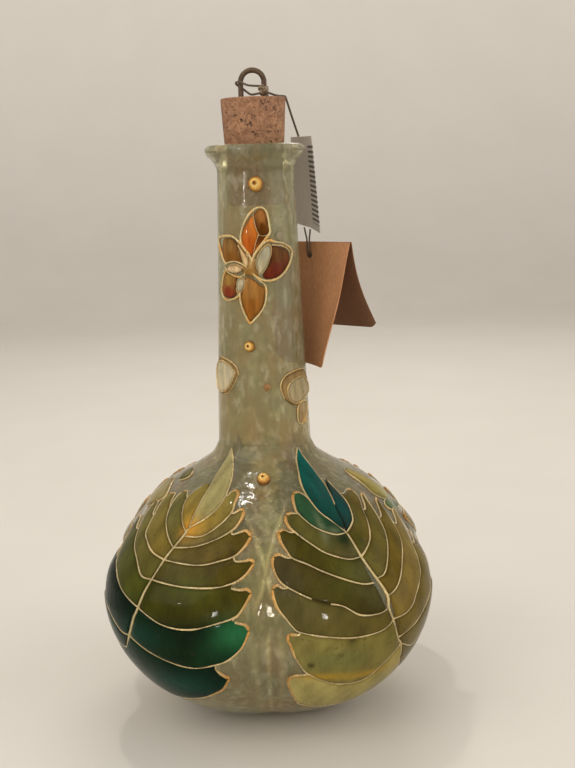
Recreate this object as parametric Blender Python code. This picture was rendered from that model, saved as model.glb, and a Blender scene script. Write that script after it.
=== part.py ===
"""A stoppered glass carafe, modelled in metres with +Z up.

The bottle is one blown piece: four lobes round a low belly, a long tapering neck and a rolled lip.
A tapered cork closes it, with a wire loop set in the cork. A twine tied to the loop carries a price
ticket and a folded card tag, which hang outside the lip. The front of the carafe faces -Y, and the
origin is the middle of the flat base. Angles round the bottle start at the front and grow towards +X.
"""

import math

import bmesh
import bpy
from mathutils import Matrix, Vector

# Glass bottle
GLASS_HEIGHT = 0.250
BASE_RADIUS = 0.018
BELLY_HEIGHT = 0.062
BELLY_HALF_WIDTH = 0.0705
NECK_FOOT_HEIGHT = 0.121
NECK_FOOT_RADIUS = 0.0199
NECK_TOP_RADIUS = 0.0159
LIP_RADIUS = 0.0215
LIP_ROLL_RADIUS = 0.0022
LIP_DEPTH = 0.0115
WALL = 0.0028
FLOOR_THICKNESS = 0.007
FLOOR_EDGE = 0.001
MOUTH_EDGE = 0.0006
BORE_BLEND = 0.010
LOBES = 4
LOBE_SPREAD_SHARE = 0.75
CREASE_SOFTNESS = 0.0015
SIDES_PER_LOBE = 14

# Cork stopper and the wire loop set in it
CORK_TOP_RADIUS = 0.0139
CORK_BOTTOM_RADIUS = 0.0113
CORK_LENGTH = 0.0448
CORK_STANDS_PROUD = 0.0193
CORK_EDGE = 0.0006
CORK_GAP = 0.0003
SEAT_DEPTH = 0.013
LOOP_OUTER_WIDTH = 0.0122
LOOP_RISE = 0.0127
WIRE_RADIUS = 0.00115
LOOP_LEG_IN_CORK = 0.014
HOLE_CLEARANCE = 0.0003

# Twine, ticket and tag. Places beside the neck are (degrees round the bottle, gap beyond the lip).
TWINE_RADIUS = 0.0005
STRAND_RADIUS = 0.0004
KNOT_SIZE = 0.0006
CLEARANCE = 0.0003
CORK_EDGE_ANGLE = math.radians(108.0)
TICKET_LENGTH = 0.039
TICKET_MAIN_WIDTH = 0.0092
TICKET_STRIP_WIDTH = 0.0050
TICKET_FOLD = 0.0042
TICKET_THICKNESS = 0.0005
TICKET_TOP = ((131.7, 0.0041), 46.3, 59.8, 0.0)
TICKET_BOTTOM = ((132.8, 0.0059), 34.9, 37.6, 0.25)
TAG_PLACE = (127.6, 0.0072)
TAG_HOLE_BELOW_TICKET = 0.0130
TAG_WIDTH = 0.044
TAG_FRONT_LENGTH = 0.054
TAG_BACK_DROP = 0.040
TAG_BACK_REACH = 0.0185
TAG_THICKNESS = 0.0005
TAG_CORNER = 0.004
TAG_FOLD_GAP = 0.0006
TAG_HOLE_RADIUS = 0.0016
TAG_HOLE_BELOW_FOLD = 0.0056
TAG_TURN = math.radians(38.0)
TAG_CURL_MIDDLE = 120.5
TAG_CURL_SPREAD = 93.4
TAG_CURL_GAP = 0.0011
TAG_CURL_FLARE = 0.0050

# Raised ornament on the glass
FILM_LIFT = 0.0009
PANE_THICKNESS = 0.0005
LINE_HEIGHT = 0.0011
LINE_SHARE = 0.12
LEAF_TOP_HEIGHT = 0.120
LEAF_STEM_HEIGHT = 0.029
SPINE_TOP_SHARE = 0.685
FLOWER_HEIGHT_SHARE = 0.796
FLOWER_ANGLE = math.radians(-10.0)
FLOWER_HUB_RADIUS = 0.0022
BUD_LENGTH = 0.0155
BUD_HALF_WIDTH = 0.0105
DOT_HEIGHT = 0.0016
VEIN_SAG = (0.0035, 0.0012)

# Buds and dots give their height as a share of the glass's height, then degrees round the bottle from the front.
BUDS = (("bud_left", 0.606, -62.0), ("bud_right", 0.588, 57.0))
DOTS = (("dot_upper", 0.934, 1.0, 0.0032), ("dot_middle", 0.662, -13.5, 0.0023), ("dot_lower", 0.440, -0.5, 0.0029))

# Each painted leaf has seven leaflets on each side of its spine. A row gives one vein: where it leaves the
# spine, its end at the notch in the front edge and in the rear edge, then the leaflet tips next below.
# Heights are shares of the leaf's height and angles are degrees round the bottle from the front.
LEFT_LEAF = (
    (0.685, (17.5, 0.780), (47.0, 0.790), (17.5, 0.850), (55.0, 0.860)),
    (0.665, (16.5, 0.770), (54.5, 0.800), (11.0, 0.785), (61.0, 0.800)),
    (0.615, (14.0, 0.715), (60.0, 0.745), (5.5, 0.710), (66.5, 0.740)),
    (0.540, (12.5, 0.625), (62.0, 0.640), (4.5, 0.605), (72.0, 0.640)),
    (0.460, (12.5, 0.520), (68.0, 0.540), (5.0, 0.485), (77.0, 0.520)),
    (0.360, (10.5, 0.385), (74.0, 0.420), (5.5, 0.340), (82.0, 0.350)),
    (0.240, (18.0, 0.155), (78.0, 0.230), (14.0, 0.085), (84.0, 0.140)),
    (0.040, (38.0, -0.090), (66.0, -0.060)),
)
RIGHT_LEAF = (
    (0.685, (18.5, 0.775), (50.0, 0.780), (18.5, 0.835), (55.0, 0.840)),
    (0.640, (16.5, 0.775), (54.5, 0.785), (11.0, 0.770), (59.0, 0.790)),
    (0.570, (13.0, 0.710), (57.5, 0.750), (6.0, 0.705), (63.0, 0.730)),
    (0.470, (10.0, 0.615), (61.5, 0.655), (3.5, 0.615), (70.0, 0.650)),
    (0.375, (7.5, 0.500), (66.5, 0.545), (3.0, 0.480), (76.0, 0.530)),
    (0.300, (11.5, 0.310), (73.0, 0.420), (7.5, 0.285), (82.0, 0.350)),
    (0.175, (14.0, 0.085), (78.0, 0.220), (8.0, 0.035), (84.0, 0.130)),
    (0.000, (38.0, -0.160), (66.0, -0.090)),
)
# Each petal gives its direction from the flower's middle in degrees, its length and its half width.
PETALS = ((82.0, 0.0253, 0.0062), (8.0, 0.0195, 0.0085), (268.0, 0.0236, 0.0058), (222.0, 0.0172, 0.0054),
          (152.0, 0.0205, 0.0064))

SHOULDER_SHAPE = ((0.137, 0.966), (0.306, 0.851), (0.475, 0.717), (0.645, 0.519), (0.814, 0.205), (0.915, 0.05))
LOBE_FADE_BELOW = ((0.0, 0.45), (0.2, 0.76), (0.45, 0.92), (0.7, 1.0), (1.0, 1.0))
LOBE_FADE_ABOVE = ((0.0, 1.0), (0.15, 0.92), (0.4, 0.67), (0.56, 0.43), (0.73, 0.22), (0.9, 0.05), (1.0, 0.0))
WEB_BELOW = ((0.0, 0.95), (0.25, 0.905), (0.6, 0.88), (0.78, 0.90), (1.0, 0.945))
WEB_ABOVE = ((0.0, 0.945), (0.3, 0.945), (0.4, 0.97), (0.56, 1.0), (1.0, 1.0))


def clear_scene():
    for thing in list(bpy.data.objects):
        bpy.data.objects.remove(thing, do_unlink=True)


def material(name, colour, roughness, metallic=0.0, transmission=0.0):
    made = bpy.data.materials.new(name)
    made.use_nodes = True
    shader = made.node_tree.nodes["Principled BSDF"]
    shader.inputs["Base Color"].default_value = (*colour, 1.0)
    shader.inputs["Roughness"].default_value = roughness
    shader.inputs["Metallic"].default_value = metallic
    shader.inputs["Transmission Weight"].default_value = transmission
    return made


def object_of(name, mesh_builder, finish, place=(0.0, 0.0, 0.0)):
    """An object whose origin is at place, made from a bmesh that holds world positions."""
    mesh = bpy.data.meshes.new(name)
    mesh_builder.transform(Matrix.Translation(-Vector(place)))
    bmesh.ops.recalc_face_normals(mesh_builder, faces=mesh_builder.faces)
    mesh_builder.to_mesh(mesh)
    mesh_builder.free()
    mesh.shade_smooth()
    mesh.set_sharp_from_angle(angle=math.radians(40.0))
    made = bpy.data.objects.new(name, mesh)
    made.location = place
    made.data.materials.append(finish)
    bpy.context.scene.collection.objects.link(made)
    return made


def smooth_between(points, x):
    """A monotone curve through (x, y) points, by cubic pieces with limited slopes."""
    if x <= points[0][0]:
        return points[0][1]
    if x >= points[-1][0]:
        return points[-1][1]
    chords = [(b[1] - a[1]) / (b[0] - a[0]) for a, b in zip(points, points[1:])]
    slopes = [chords[0]]
    for before, after in zip(chords, chords[1:]):
        same_way = before * after > 0
        slopes.append(2 * before * after / (before + after) if same_way else 0.0)
    slopes.append(chords[-1])
    i = max(n for n in range(len(points) - 1) if points[n][0] <= x)
    (x0, y0), (x1, y1) = points[i], points[i + 1]
    span = x1 - x0
    t = (x - x0) / span
    rise = (2 * t**3 - 3 * t**2 + 1) * y0 + (3 * t**2 - 2 * t**3) * y1
    return rise + (t**3 - 2 * t**2 + t) * span * slopes[i] + (t**3 - t**2) * span * slopes[i + 1]


def smooth_max(a, b, softness):
    mix = min(max(0.5 + 0.5 * (a - b) / softness, 0.0), 1.0)
    return b * (1 - mix) + a * mix + softness * mix * (1 - mix)


def leaf_height(share):
    return LEAF_STEM_HEIGHT + (LEAF_TOP_HEIGHT - LEAF_STEM_HEIGHT) * share


def neck_top_height():
    return GLASS_HEIGHT - LIP_DEPTH


def belly_share(z):
    """Height as a share of the lower belly, 0 to 1, or of the shoulder above it, with which of them it is."""
    if z <= BELLY_HEIGHT:
        return z / BELLY_HEIGHT, True
    return min((z - BELLY_HEIGHT) / (NECK_FOOT_HEIGHT - BELLY_HEIGHT), 1.0), False


def half_width(z):
    """Half the bottle's width at a height, seen square to a pair of lobes."""
    share, below = belly_share(z)
    if below:
        bulge = (1 - (1 - share) ** 1.9) ** (1 / 1.6)
        return BASE_RADIUS + (BELLY_HALF_WIDTH - BASE_RADIUS) * bulge
    if z < NECK_FOOT_HEIGHT:
        shape = smooth_between(((0.0, 1.0), *SHOULDER_SHAPE, (1.0, 0.0)), share)
        return NECK_FOOT_RADIUS + (BELLY_HALF_WIDTH - NECK_FOOT_RADIUS) * shape
    roll_centre = LIP_RADIUS - LIP_ROLL_RADIUS
    top = neck_top_height()
    if z <= top:
        along = (z - NECK_FOOT_HEIGHT) / (top - NECK_FOOT_HEIGHT)
        return NECK_FOOT_RADIUS + (NECK_TOP_RADIUS - NECK_FOOT_RADIUS) * along
    flare = (z - top) / (GLASS_HEIGHT - 1.75 * LIP_ROLL_RADIUS - top)
    reach = roll_centre + 0.66 * LIP_ROLL_RADIUS - NECK_TOP_RADIUS
    return NECK_TOP_RADIUS + reach * min(flare, 1.0) ** 2


def lobed_radius(angle, z, inset=0.0):
    """The distance of the surface from the bottle's axis, for a section shrunk all round by inset."""
    share, below = belly_share(z)
    width = half_width(z) - inset
    spread = LOBE_SPREAD_SHARE * smooth_between(LOBE_FADE_BELOW if below else LOBE_FADE_ABOVE, share)
    web = smooth_between(WEB_BELOW if below else WEB_ABOVE, share)
    lobe_radius = width / (1 + spread * math.sin(math.pi / LOBES))
    offset = spread * lobe_radius
    pitch = 2 * math.pi / LOBES
    off_axis = angle % pitch - pitch / 2

    def lobe(turn):
        side = offset * math.sin(turn)
        return offset * math.cos(turn) + math.sqrt(max(lobe_radius**2 - side**2, 0.0))

    own, next_one = lobe(off_axis), lobe(pitch - abs(off_axis))
    return smooth_max(smooth_max(own, next_one, CREASE_SOFTNESS), web * width, CREASE_SOFTNESS)


def on_circle(angle, radius, z):
    return Vector((radius * math.sin(angle), -radius * math.cos(angle), z))


def on_glass(angle, z, lift=0.0):
    """A point on the bottle's outer surface, or lift above it along its normal."""
    step = 0.0005
    here = on_circle(angle, lobed_radius(angle, z), z)
    turn = step / 0.05
    around = on_circle(angle + turn, lobed_radius(angle + turn, z), z) - here
    up = on_circle(angle, lobed_radius(angle, z + step), z + step) - here
    return here + lift * around.cross(up).normalized()


def between(low, high, count, ease=1.0):
    """Values from low to high, left out at high, closer together near low when ease is over 1."""
    return [low + (high - low) * (i / count) ** ease for i in range(count)]


def outer_sections():
    """(height, radius function) of each ring up the outside and over the lip to the bore."""
    top = neck_top_height()
    heights = between(0.0, BELLY_HEIGHT, 10, 1.5)
    heights += between(BELLY_HEIGHT, NECK_FOOT_HEIGHT, 13)
    heights += between(NECK_FOOT_HEIGHT, top, 5)
    heights += between(top, GLASS_HEIGHT - 1.75 * LIP_ROLL_RADIUS, 3)
    rings = [[on_circle(a, lobed_radius(a, z), z) for a in ring_angles()] for z in heights]
    centre_radius = LIP_RADIUS - LIP_ROLL_RADIUS
    centre_height = GLASS_HEIGHT - LIP_ROLL_RADIUS
    for step in range(6):
        turn = math.radians(-48.0 + 138.0 * step / 5)
        radius = centre_radius + LIP_ROLL_RADIUS * math.cos(turn)
        height = centre_height + LIP_ROLL_RADIUS * math.sin(turn)
        rings.append([on_circle(a, radius, height) for a in ring_angles()])
    return rings


def ring_angles():
    """The sides stand closer together at the creases between the lobes, where the section turns most."""
    half, pitch = SIDES_PER_LOBE // 2, 2 * math.pi / LOBES
    rising = [pitch / 2 * (i / half) ** 1.35 for i in range(half)]
    one = rising + [pitch - turn for turn in [pitch / 2, *reversed(rising[1:])]]
    return [lobe * pitch + turn for lobe in range(LOBES) for turn in one]


def cork_radius(z):
    """The cork's radius at a height when it is seated, the taper carried on past its ends."""
    top = GLASS_HEIGHT + CORK_STANDS_PROUD
    slope = (CORK_TOP_RADIUS - CORK_BOTTOM_RADIUS) / CORK_LENGTH
    return CORK_TOP_RADIUS - slope * (top - z)


def inner_sections():
    """The rings down the bore and round the inside to the floor."""
    rings = []
    mouth = cork_radius(GLASS_HEIGHT) + CORK_GAP + MOUTH_EDGE
    rings.append([on_circle(a, mouth, GLASS_HEIGHT - MOUTH_EDGE / 6) for a in ring_angles()])
    seat_foot = GLASS_HEIGHT - SEAT_DEPTH
    for z in (GLASS_HEIGHT - MOUTH_EDGE, (GLASS_HEIGHT + seat_foot) / 2, seat_foot):
        rings.append([on_circle(a, cork_radius(z) + CORK_GAP, z) for a in ring_angles()])
    heights = between(seat_foot - BORE_BLEND, NECK_FOOT_HEIGHT, 4)
    heights += between(NECK_FOOT_HEIGHT, BELLY_HEIGHT, 8)
    heights += between(BELLY_HEIGHT, FLOOR_THICKNESS - FLOOR_EDGE, 7)
    for z in heights:
        slope = (half_width(z + 0.0005) - half_width(z - 0.0005)) / 0.001
        tilt = 1 / math.hypot(1.0, slope)
        inset, rise = WALL * tilt, WALL * slope * tilt
        rings.append([on_circle(a, lobed_radius(a, z, inset), z + rise) for a in ring_angles()])
    floor_edge = rings[-1]
    flat = [point.lerp(Vector((0.0, 0.0, FLOOR_THICKNESS)), 0.4) for point in floor_edge]
    rings.append([Vector((p.x, p.y, FLOOR_THICKNESS)) for p in flat])
    return rings


def skin_of_rings(mesh, rings):
    """Quads between closed rings of points, with the two end rings closed by fans to their middles."""
    rows = [[mesh.verts.new(point) for point in ring] for ring in rings]
    for low, high in zip(rows, rows[1:]):
        count = len(low)
        for i in range(count):
            j = (i + 1) % count
            mesh.faces.new((low[i], low[j], high[j], high[i]))
    for row in (rows[0], rows[-1]):
        middle = sum((vert.co for vert in row), Vector()) / len(row)
        hub = mesh.verts.new(middle)
        for i, vert in enumerate(row):
            mesh.faces.new((vert, row[(i + 1) % len(row)], hub))


def glass_bottle(finish):
    mesh = bmesh.new()
    skin_of_rings(mesh, outer_sections() + inner_sections())
    return object_of("glass_body", mesh, finish)


def turned(profile, sides):
    """Closed rings of points for a profile of (radius, height), bottom to top."""
    angles = [2 * math.pi * i / sides for i in range(sides)]
    return [[on_circle(a, radius, z) for a in angles] for radius, z in profile]


def cork_stopper(finish):
    top = GLASS_HEIGHT + CORK_STANDS_PROUD
    bottom = top - CORK_LENGTH
    heights = between(bottom + CORK_EDGE, top - CORK_EDGE, 4) + [top - CORK_EDGE]
    profile = [(CORK_BOTTOM_RADIUS - CORK_EDGE, bottom)]
    profile += [(cork_radius(z), z) for z in heights]
    profile += [(CORK_TOP_RADIUS - CORK_EDGE, top)]
    mesh = bmesh.new()
    skin_of_rings(mesh, turned(profile, 40))
    cork = object_of("cork_stopper", mesh, finish, (0.0, 0.0, bottom))
    for name, side in (("left_leg_hole", -1), ("right_leg_hole", 1)):
        cutter_mesh = bmesh.new()
        depth = LOOP_LEG_IN_CORK + HOLE_CLEARANCE
        bmesh.ops.create_cone(
            cutter_mesh,
            cap_ends=True,
            segments=12,
            radius1=WIRE_RADIUS + HOLE_CLEARANCE,
            radius2=WIRE_RADIUS + HOLE_CLEARANCE,
            depth=2 * depth,
            matrix=Matrix.Translation((side * loop_leg_offset(), 0.0, top)),
        )
        cutter = object_of(name, cutter_mesh, finish)
        cutter.hide_render = True
        cutter.display_type = "WIRE"
        cut = cork.modifiers.new(name, "BOOLEAN")
        cut.operation = "DIFFERENCE"
        cut.object = cutter
        cut.solver = "EXACT"
    return cork


def loop_leg_offset():
    return LOOP_OUTER_WIDTH / 2 - WIRE_RADIUS


def loop_centre_height():
    return GLASS_HEIGHT + CORK_STANDS_PROUD + LOOP_RISE - LOOP_OUTER_WIDTH / 2


def tube(name, points, radius, finish, closed=False, resolution=2):
    """A round wire or cord along the points, with filled ends."""
    data = bpy.data.curves.new(name, "CURVE")
    data.dimensions = "3D"
    data.bevel_depth = radius
    data.bevel_resolution = resolution
    data.use_fill_caps = True
    line = data.splines.new("POLY")
    line.points.add(len(points) - 1)
    for spline_point, place in zip(line.points, points):
        spline_point.co = (*place, 1.0)
    line.use_cyclic_u = closed
    made = bpy.data.objects.new(name, data)
    made.data.materials.append(finish)
    bpy.context.scene.collection.objects.link(made)
    return made


def wire_loop(finish):
    centre, reach = loop_centre_height(), loop_leg_offset()
    foot = GLASS_HEIGHT + CORK_STANDS_PROUD - LOOP_LEG_IN_CORK
    points = [Vector((-reach, 0.0, foot)), Vector((-reach, 0.0, (foot + centre) / 2))]
    for step in range(15):
        turn = math.pi - math.pi * step / 14
        points.append(Vector((reach * math.cos(turn), 0.0, centre + reach * math.sin(turn))))
    points += [Vector((reach, 0.0, (foot + centre) / 2)), Vector((reach, 0.0, foot))]
    return tube("wire_loop", points, WIRE_RADIUS, finish)


def smooth_route(points, spacing):
    """Evenly read points of one smooth curve through the route's own points."""
    points = [Vector(p) for p in points]
    ends = [2 * points[0] - points[1], *points, 2 * points[-1] - points[-2]]
    dense = []
    for a, b, c, d in zip(ends, ends[1:], ends[2:], ends[3:]):
        for step in range(24):
            t = step / 24
            bend = 2 * a - 5 * b + 4 * c - d
            twist = 3 * b - 3 * c + d - a
            dense.append(0.5 * (2 * b + (c - a) * t + bend * t * t + twist * t**3))
    dense.append(points[-1])
    lengths = [0.0]
    for a, b in zip(dense, dense[1:]):
        lengths.append(lengths[-1] + (b - a).length)
    count = max(2, round(lengths[-1] / spacing))
    route, at = [], 0
    for step in range(count + 1):
        wanted = lengths[-1] * step / count
        while at < len(dense) - 2 and lengths[at + 1] < wanted:
            at += 1
        span = lengths[at + 1] - lengths[at]
        route.append(dense[at].lerp(dense[at + 1], (wanted - lengths[at]) / span))
    return route


def cork_top():
    return GLASS_HEIGHT + CORK_STANDS_PROUD


def knot_centre():
    """The knot lies on the cork, in front of the loop's right leg."""
    return Vector((loop_leg_offset() - 0.0006, -WIRE_RADIUS - 0.0021, cork_top() + 0.0031))


def twine_knot(finish):
    """An overhand knot drawn into a small round lump: a trefoil of one closed strand."""
    centre, size = knot_centre(), KNOT_SIZE
    points = []
    for step in range(42):
        t = 2 * math.pi * step / 42
        across = math.sin(t) + 2 * math.sin(2 * t)
        up = math.cos(t) - 2 * math.cos(2 * t)
        through = -1.15 * math.sin(3 * t)
        points.append(centre + size * Vector((across * 0.95, through, up * 0.8)))
    return tube("twine_knot", points, TWINE_RADIUS * 0.9, finish, closed=True, resolution=1)


def twine_round_leg(finish):
    """The bight that goes from the knot round the loop's left leg and back over the cork."""
    leg, level = loop_leg_offset(), cork_top()
    clear = WIRE_RADIUS + TWINE_RADIUS + CLEARANCE
    knot = knot_centre()
    left_of_knot = knot.x - 2.77 * 0.95 * KNOT_SIZE - TWINE_RADIUS - CLEARANCE
    route = [
        (left_of_knot, knot.y + 0.0003, level + 0.0042),
        (-leg * 0.35, -clear - 0.0006, level + 0.0052),
        (-leg + 0.0004, -clear, level + 0.0064),
        (-leg - clear * 0.78, -clear * 0.66, level + 0.0067),
        (-leg - clear * 1.02, clear * 0.2, level + 0.0062),
        (-leg - clear * 0.55, clear * 0.9, level + 0.0053),
        (-leg + clear * 0.45, clear * 0.95, level + 0.0040),
        (-leg + clear + 0.0006, 0.0004, level + 0.0026),
        (-0.0004, -0.0014, level + 0.0016),
        (left_of_knot, knot.y + 0.0006, level + 0.0018),
    ]
    return tube("twine_round_leg", smooth_route(route, 0.0010), TWINE_RADIUS, finish)


def twine_run(finish):
    """From the knot over the cork's edge and down outside the lip to the ticket."""
    edge = CORK_TOP_RADIUS + TWINE_RADIUS + CLEARANCE
    level = cork_top() + TWINE_RADIUS + CLEARANCE
    knot = knot_centre()
    end = card_point(TICKET_TOP, 0.0) + Vector((0.0, 0.0, CLEARANCE))
    right_of_knot = knot.x + 2.77 * 0.95 * KNOT_SIZE + TWINE_RADIUS + CLEARANCE
    over = Vector((math.sin(CORK_EDGE_ANGLE), -math.cos(CORK_EDGE_ANGLE), 0.0))
    route = [
        Vector((right_of_knot, knot.y + 0.0002, level + 0.0012)),
        over * edge * 0.62 + Vector((0.0006, -0.0016, level + 0.0003)),
        over * (edge - 0.0030) + Vector((0.0, 0.0, level)),
        over * (edge - 0.0006) + Vector((0.0, 0.0, level - 0.0002)),
        over * (edge + 0.0002) + Vector((0.0, 0.0008, level - 0.0013)),
        (over * edge).lerp(Vector((end.x, end.y, 0.0)), 0.5) + Vector((0.0, 0.0, (level + end.z) / 2 - 0.0006)),
        end,
    ]
    return tube("twine_run", smooth_route(route, 0.0022), TWINE_RADIUS, finish)


def hanging(place, height):
    """A point beside the neck from (degrees round the bottle, gap beyond the lip) and a height."""
    degrees, beyond = place
    return on_circle(math.radians(degrees), LIP_RADIUS + beyond, height)


def ticket_top_height():
    return GLASS_HEIGHT + 0.0031


def card_point(edge, across, height=None):
    """A point on the ticket's edge, across metres from where the twine meets it. The free strip bends back."""
    place, turn, strip_turn, slope = edge
    z = ticket_top_height() if height is None else height
    main = min(across, TICKET_FOLD)
    turn, strip_turn = math.radians(turn), math.radians(strip_turn)
    point = hanging(place, z) + Vector((math.cos(turn), -math.sin(turn), -slope)) * main
    if across > main:
        point += Vector((math.cos(strip_turn), -math.sin(strip_turn), -slope * 2)) * (across - main)
    return point


def sheet_between(name, top_edge, bottom_edge, thickness, rows, finish, place, bow=0.0):
    """A thin card lofted from its top edge to its bottom edge, thickened away from the bottle."""
    mesh = bmesh.new()
    columns = len(top_edge)
    grid = []
    for row in range(rows + 1):
        t = row / rows
        line = []
        for high, low in zip(top_edge, bottom_edge):
            point = high.lerp(low, t)
            outward = Vector((point.x, point.y, 0.0)).normalized()
            line.append(point + outward * bow * math.sin(math.pi * t))
        grid.append(line)
    front = [[mesh.verts.new(p) for p in line] for line in grid]
    back = []
    for r, line in enumerate(grid):
        behind = []
        for c, point in enumerate(line):
            across = line[min(c + 1, columns - 1)] - line[max(c - 1, 0)]
            down = grid[min(r + 1, rows)][c] - grid[max(r - 1, 0)][c]
            behind.append(mesh.verts.new(point + across.cross(down).normalized() * thickness))
        back.append(behind)
    for r in range(rows):
        for c in range(columns - 1):
            for side in (front, back):
                mesh.faces.new((side[r][c], side[r][c + 1], side[r + 1][c + 1], side[r + 1][c]))
    rim = [(0, c) for c in range(columns - 1)] + [(r, columns - 1) for r in range(rows)]
    rim += [(rows, c) for c in range(columns - 1, 0, -1)] + [(r, 0) for r in range(rows, 0, -1)]
    for (r0, c0), (r1, c1) in zip(rim, rim[1:] + rim[:1]):
        mesh.faces.new((front[r0][c0], front[r1][c1], back[r1][c1], back[r0][c0]))
    return object_of(name, mesh, finish, place)


def price_ticket(finish):
    """Blank card, with its free strip bent along its length."""
    acrosses = (TICKET_FOLD - TICKET_MAIN_WIDTH, 0.0, TICKET_FOLD, TICKET_FOLD + TICKET_STRIP_WIDTH)
    low = ticket_top_height() - TICKET_LENGTH
    top = [card_point(TICKET_TOP, across) for across in acrosses]
    bottom = [card_point(TICKET_BOTTOM, across, low) for across in acrosses]
    place = tuple(card_point(TICKET_TOP, 0.0))
    return sheet_between("price_ticket", top, bottom, TICKET_THICKNESS, 3, finish, place)


def tag_hole_place():
    """Below the ticket's bottom edge, where the twine's two strands meet."""
    return hanging(TAG_PLACE, ticket_top_height() - TICKET_LENGTH - TAG_HOLE_BELOW_TICKET)


def tag_fold_line(share):
    """A point on the tag's fold, from -0.5 at the end behind the neck to 0.5 at the free end."""
    along = Vector((math.cos(TAG_TURN), -math.sin(TAG_TURN), 0.0))
    return tag_hole_place() + Vector((0.0, 0.0, TAG_HOLE_BELOW_FOLD)) + along * TAG_WIDTH * share


def tag_outward():
    return Vector((math.sin(TAG_TURN), math.cos(TAG_TURN), 0.0))


def tag_front_edges(columns):
    """The front leaf's fold edge, and its lower edge, which curls round the bottle's neck."""
    shares = [i / (columns - 1) - 0.5 for i in range(columns)]
    top = [tag_fold_line(share) for share in shares]
    bottom = []
    for share, high in zip(shares, top):
        turn = math.radians(TAG_CURL_MIDDLE - TAG_CURL_SPREAD * share)
        corner = TAG_CORNER * max(abs(share) * 2 - 0.82, 0.0) ** 2 / 0.18**2
        radius = LIP_RADIUS + TAG_CURL_GAP + 4 * TAG_CURL_FLARE * share**2
        bottom.append(on_circle(turn, radius, high.z - TAG_FRONT_LENGTH + corner))
    return top, bottom


def hang_tag_front(finish):
    """The front leaf, with a punched hole under its fold for the twine."""
    top, bottom = tag_front_edges(13)
    hole = tag_hole_place()
    leaf = sheet_between("hang_tag_front", top, bottom, TAG_THICKNESS, 8, finish, tuple(hole), 0.0006)
    punch_mesh = bmesh.new()
    across_card = tag_outward().to_track_quat("Z", "Y").to_matrix().to_4x4()
    bmesh.ops.create_cone(
        punch_mesh,
        cap_ends=True,
        segments=12,
        radius1=TAG_HOLE_RADIUS,
        radius2=TAG_HOLE_RADIUS,
        depth=0.008,
        matrix=Matrix.Translation(hole) @ across_card,
    )
    punch = object_of("tag_punch", punch_mesh, finish)
    punch.hide_render = True
    punch.display_type = "WIRE"
    cut = leaf.modifiers.new("hole", "BOOLEAN")
    cut.operation = "DIFFERENCE"
    cut.object = punch
    cut.solver = "EXACT"
    return leaf


def hang_tag_back(finish):
    """The back leaf stands away from the front one, and its end behind the neck curls outwards."""
    shares = [i / 8 - 0.5 for i in range(9)]
    behind = TAG_THICKNESS + TAG_FOLD_GAP
    top = [tag_fold_line(share) + tag_outward() * behind for share in shares]
    bottom = []
    for share, high in zip(shares, top):
        corner = TAG_CORNER * max(abs(share) * 2 - 0.75, 0.0) ** 2 / 0.25**2
        reach = TAG_BACK_REACH * (1.0 + 0.25 * max(-share, 0.0))
        bottom.append(high + tag_outward() * reach + Vector((0.0, 0.0, corner - TAG_BACK_DROP)))
    return sheet_between("hang_tag_back", top, bottom, TAG_THICKNESS, 6, finish, tuple(tag_fold_line(0.0)), -0.002)


def tag_strands(finish):
    """The two strands that leave the ticket's lower edge, meet, and run down to the tag's hole."""
    low = ticket_top_height() - TICKET_LENGTH
    hole = tag_hole_place()
    along = Vector((math.cos(TAG_TURN), -math.sin(TAG_TURN), 0.0))
    near = tag_outward() * -(STRAND_RADIUS + CLEARANCE + 0.0002)
    made = []
    for name, across, side in (("twine_strand_left", 0.0008, -1), ("twine_strand_right", 0.0036, 1)):
        start = card_point(TICKET_BOTTOM, across, low) + Vector((0.0, 0.0, -CLEARANCE - STRAND_RADIUS))
        step = along * side * (STRAND_RADIUS + 0.0002)
        meet = hole + step + near + Vector((0.0, 0.0, TAG_HOLE_BELOW_FOLD + 0.0012))
        lower = hole + step + near + Vector((0.0, 0.0, TAG_HOLE_RADIUS * 0.5))
        route = [start, start.lerp(meet, 0.6), meet, meet.lerp(lower, 0.5), lower]
        made.append(tube(name, smooth_route(route, 0.0011), STRAND_RADIUS, finish))
    return made


def coating(name, cells, finish):
    """One raised coat on the glass. A cell is a grid of (angle, height, thickness), and cells share edges."""
    corners, faces = {}, []

    def corner(point):
        key = (round(point[0], 5), round(point[1], 6))
        corners.setdefault(key, (len(corners), point))
        return corners[key][0]

    for cell in cells:
        for low, high in zip(cell, cell[1:]):
            for i in range(len(low) - 1):
                around = [corner(p) for p in (low[i], low[i + 1], high[i + 1], high[i])]
                face = [n for at, n in enumerate(around) if n not in around[:at]]
                if len(face) > 2:
                    faces.append(face)
    mesh = bmesh.new()
    placed = [point for _, point in sorted(corners.values(), key=lambda pair: pair[0])]
    top = [mesh.verts.new(on_glass(a, z, FILM_LIFT + thick)) for a, z, thick in placed]
    under = [mesh.verts.new(on_glass(a, z, FILM_LIFT)) for a, z, _ in placed]
    for face in faces:
        mesh.faces.new([top[n] for n in face])
        mesh.faces.new([under[n] for n in face])
    edges = [tuple(sorted((face[i - 1], face[i]))) for face in faces for i in range(len(face))]
    for a, b in sorted(set(edges)):
        if edges.count((a, b)) == 1:
            mesh.faces.new((top[a], top[b], under[b], under[a]))
    return object_of(name, mesh, finish)


def arc_through(start, middle, end, t):
    """A parabola from start to end that passes through middle half way."""
    turn = [2 * m - 0.5 * (a + b) for a, m, b in zip(start, middle, end)]
    return tuple((1 - t) ** 2 * a + 2 * t * (1 - t) * c + t * t * b for a, c, b in zip(start, turn, end))


def spine_point(share):
    """The spine leans away from the front crease as it falls."""
    fall = (SPINE_TOP_SHARE - share) / SPINE_TOP_SHARE
    return (math.radians(33.5 + 9.0 * fall + 11.5 * fall**3), leaf_height(share))


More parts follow.
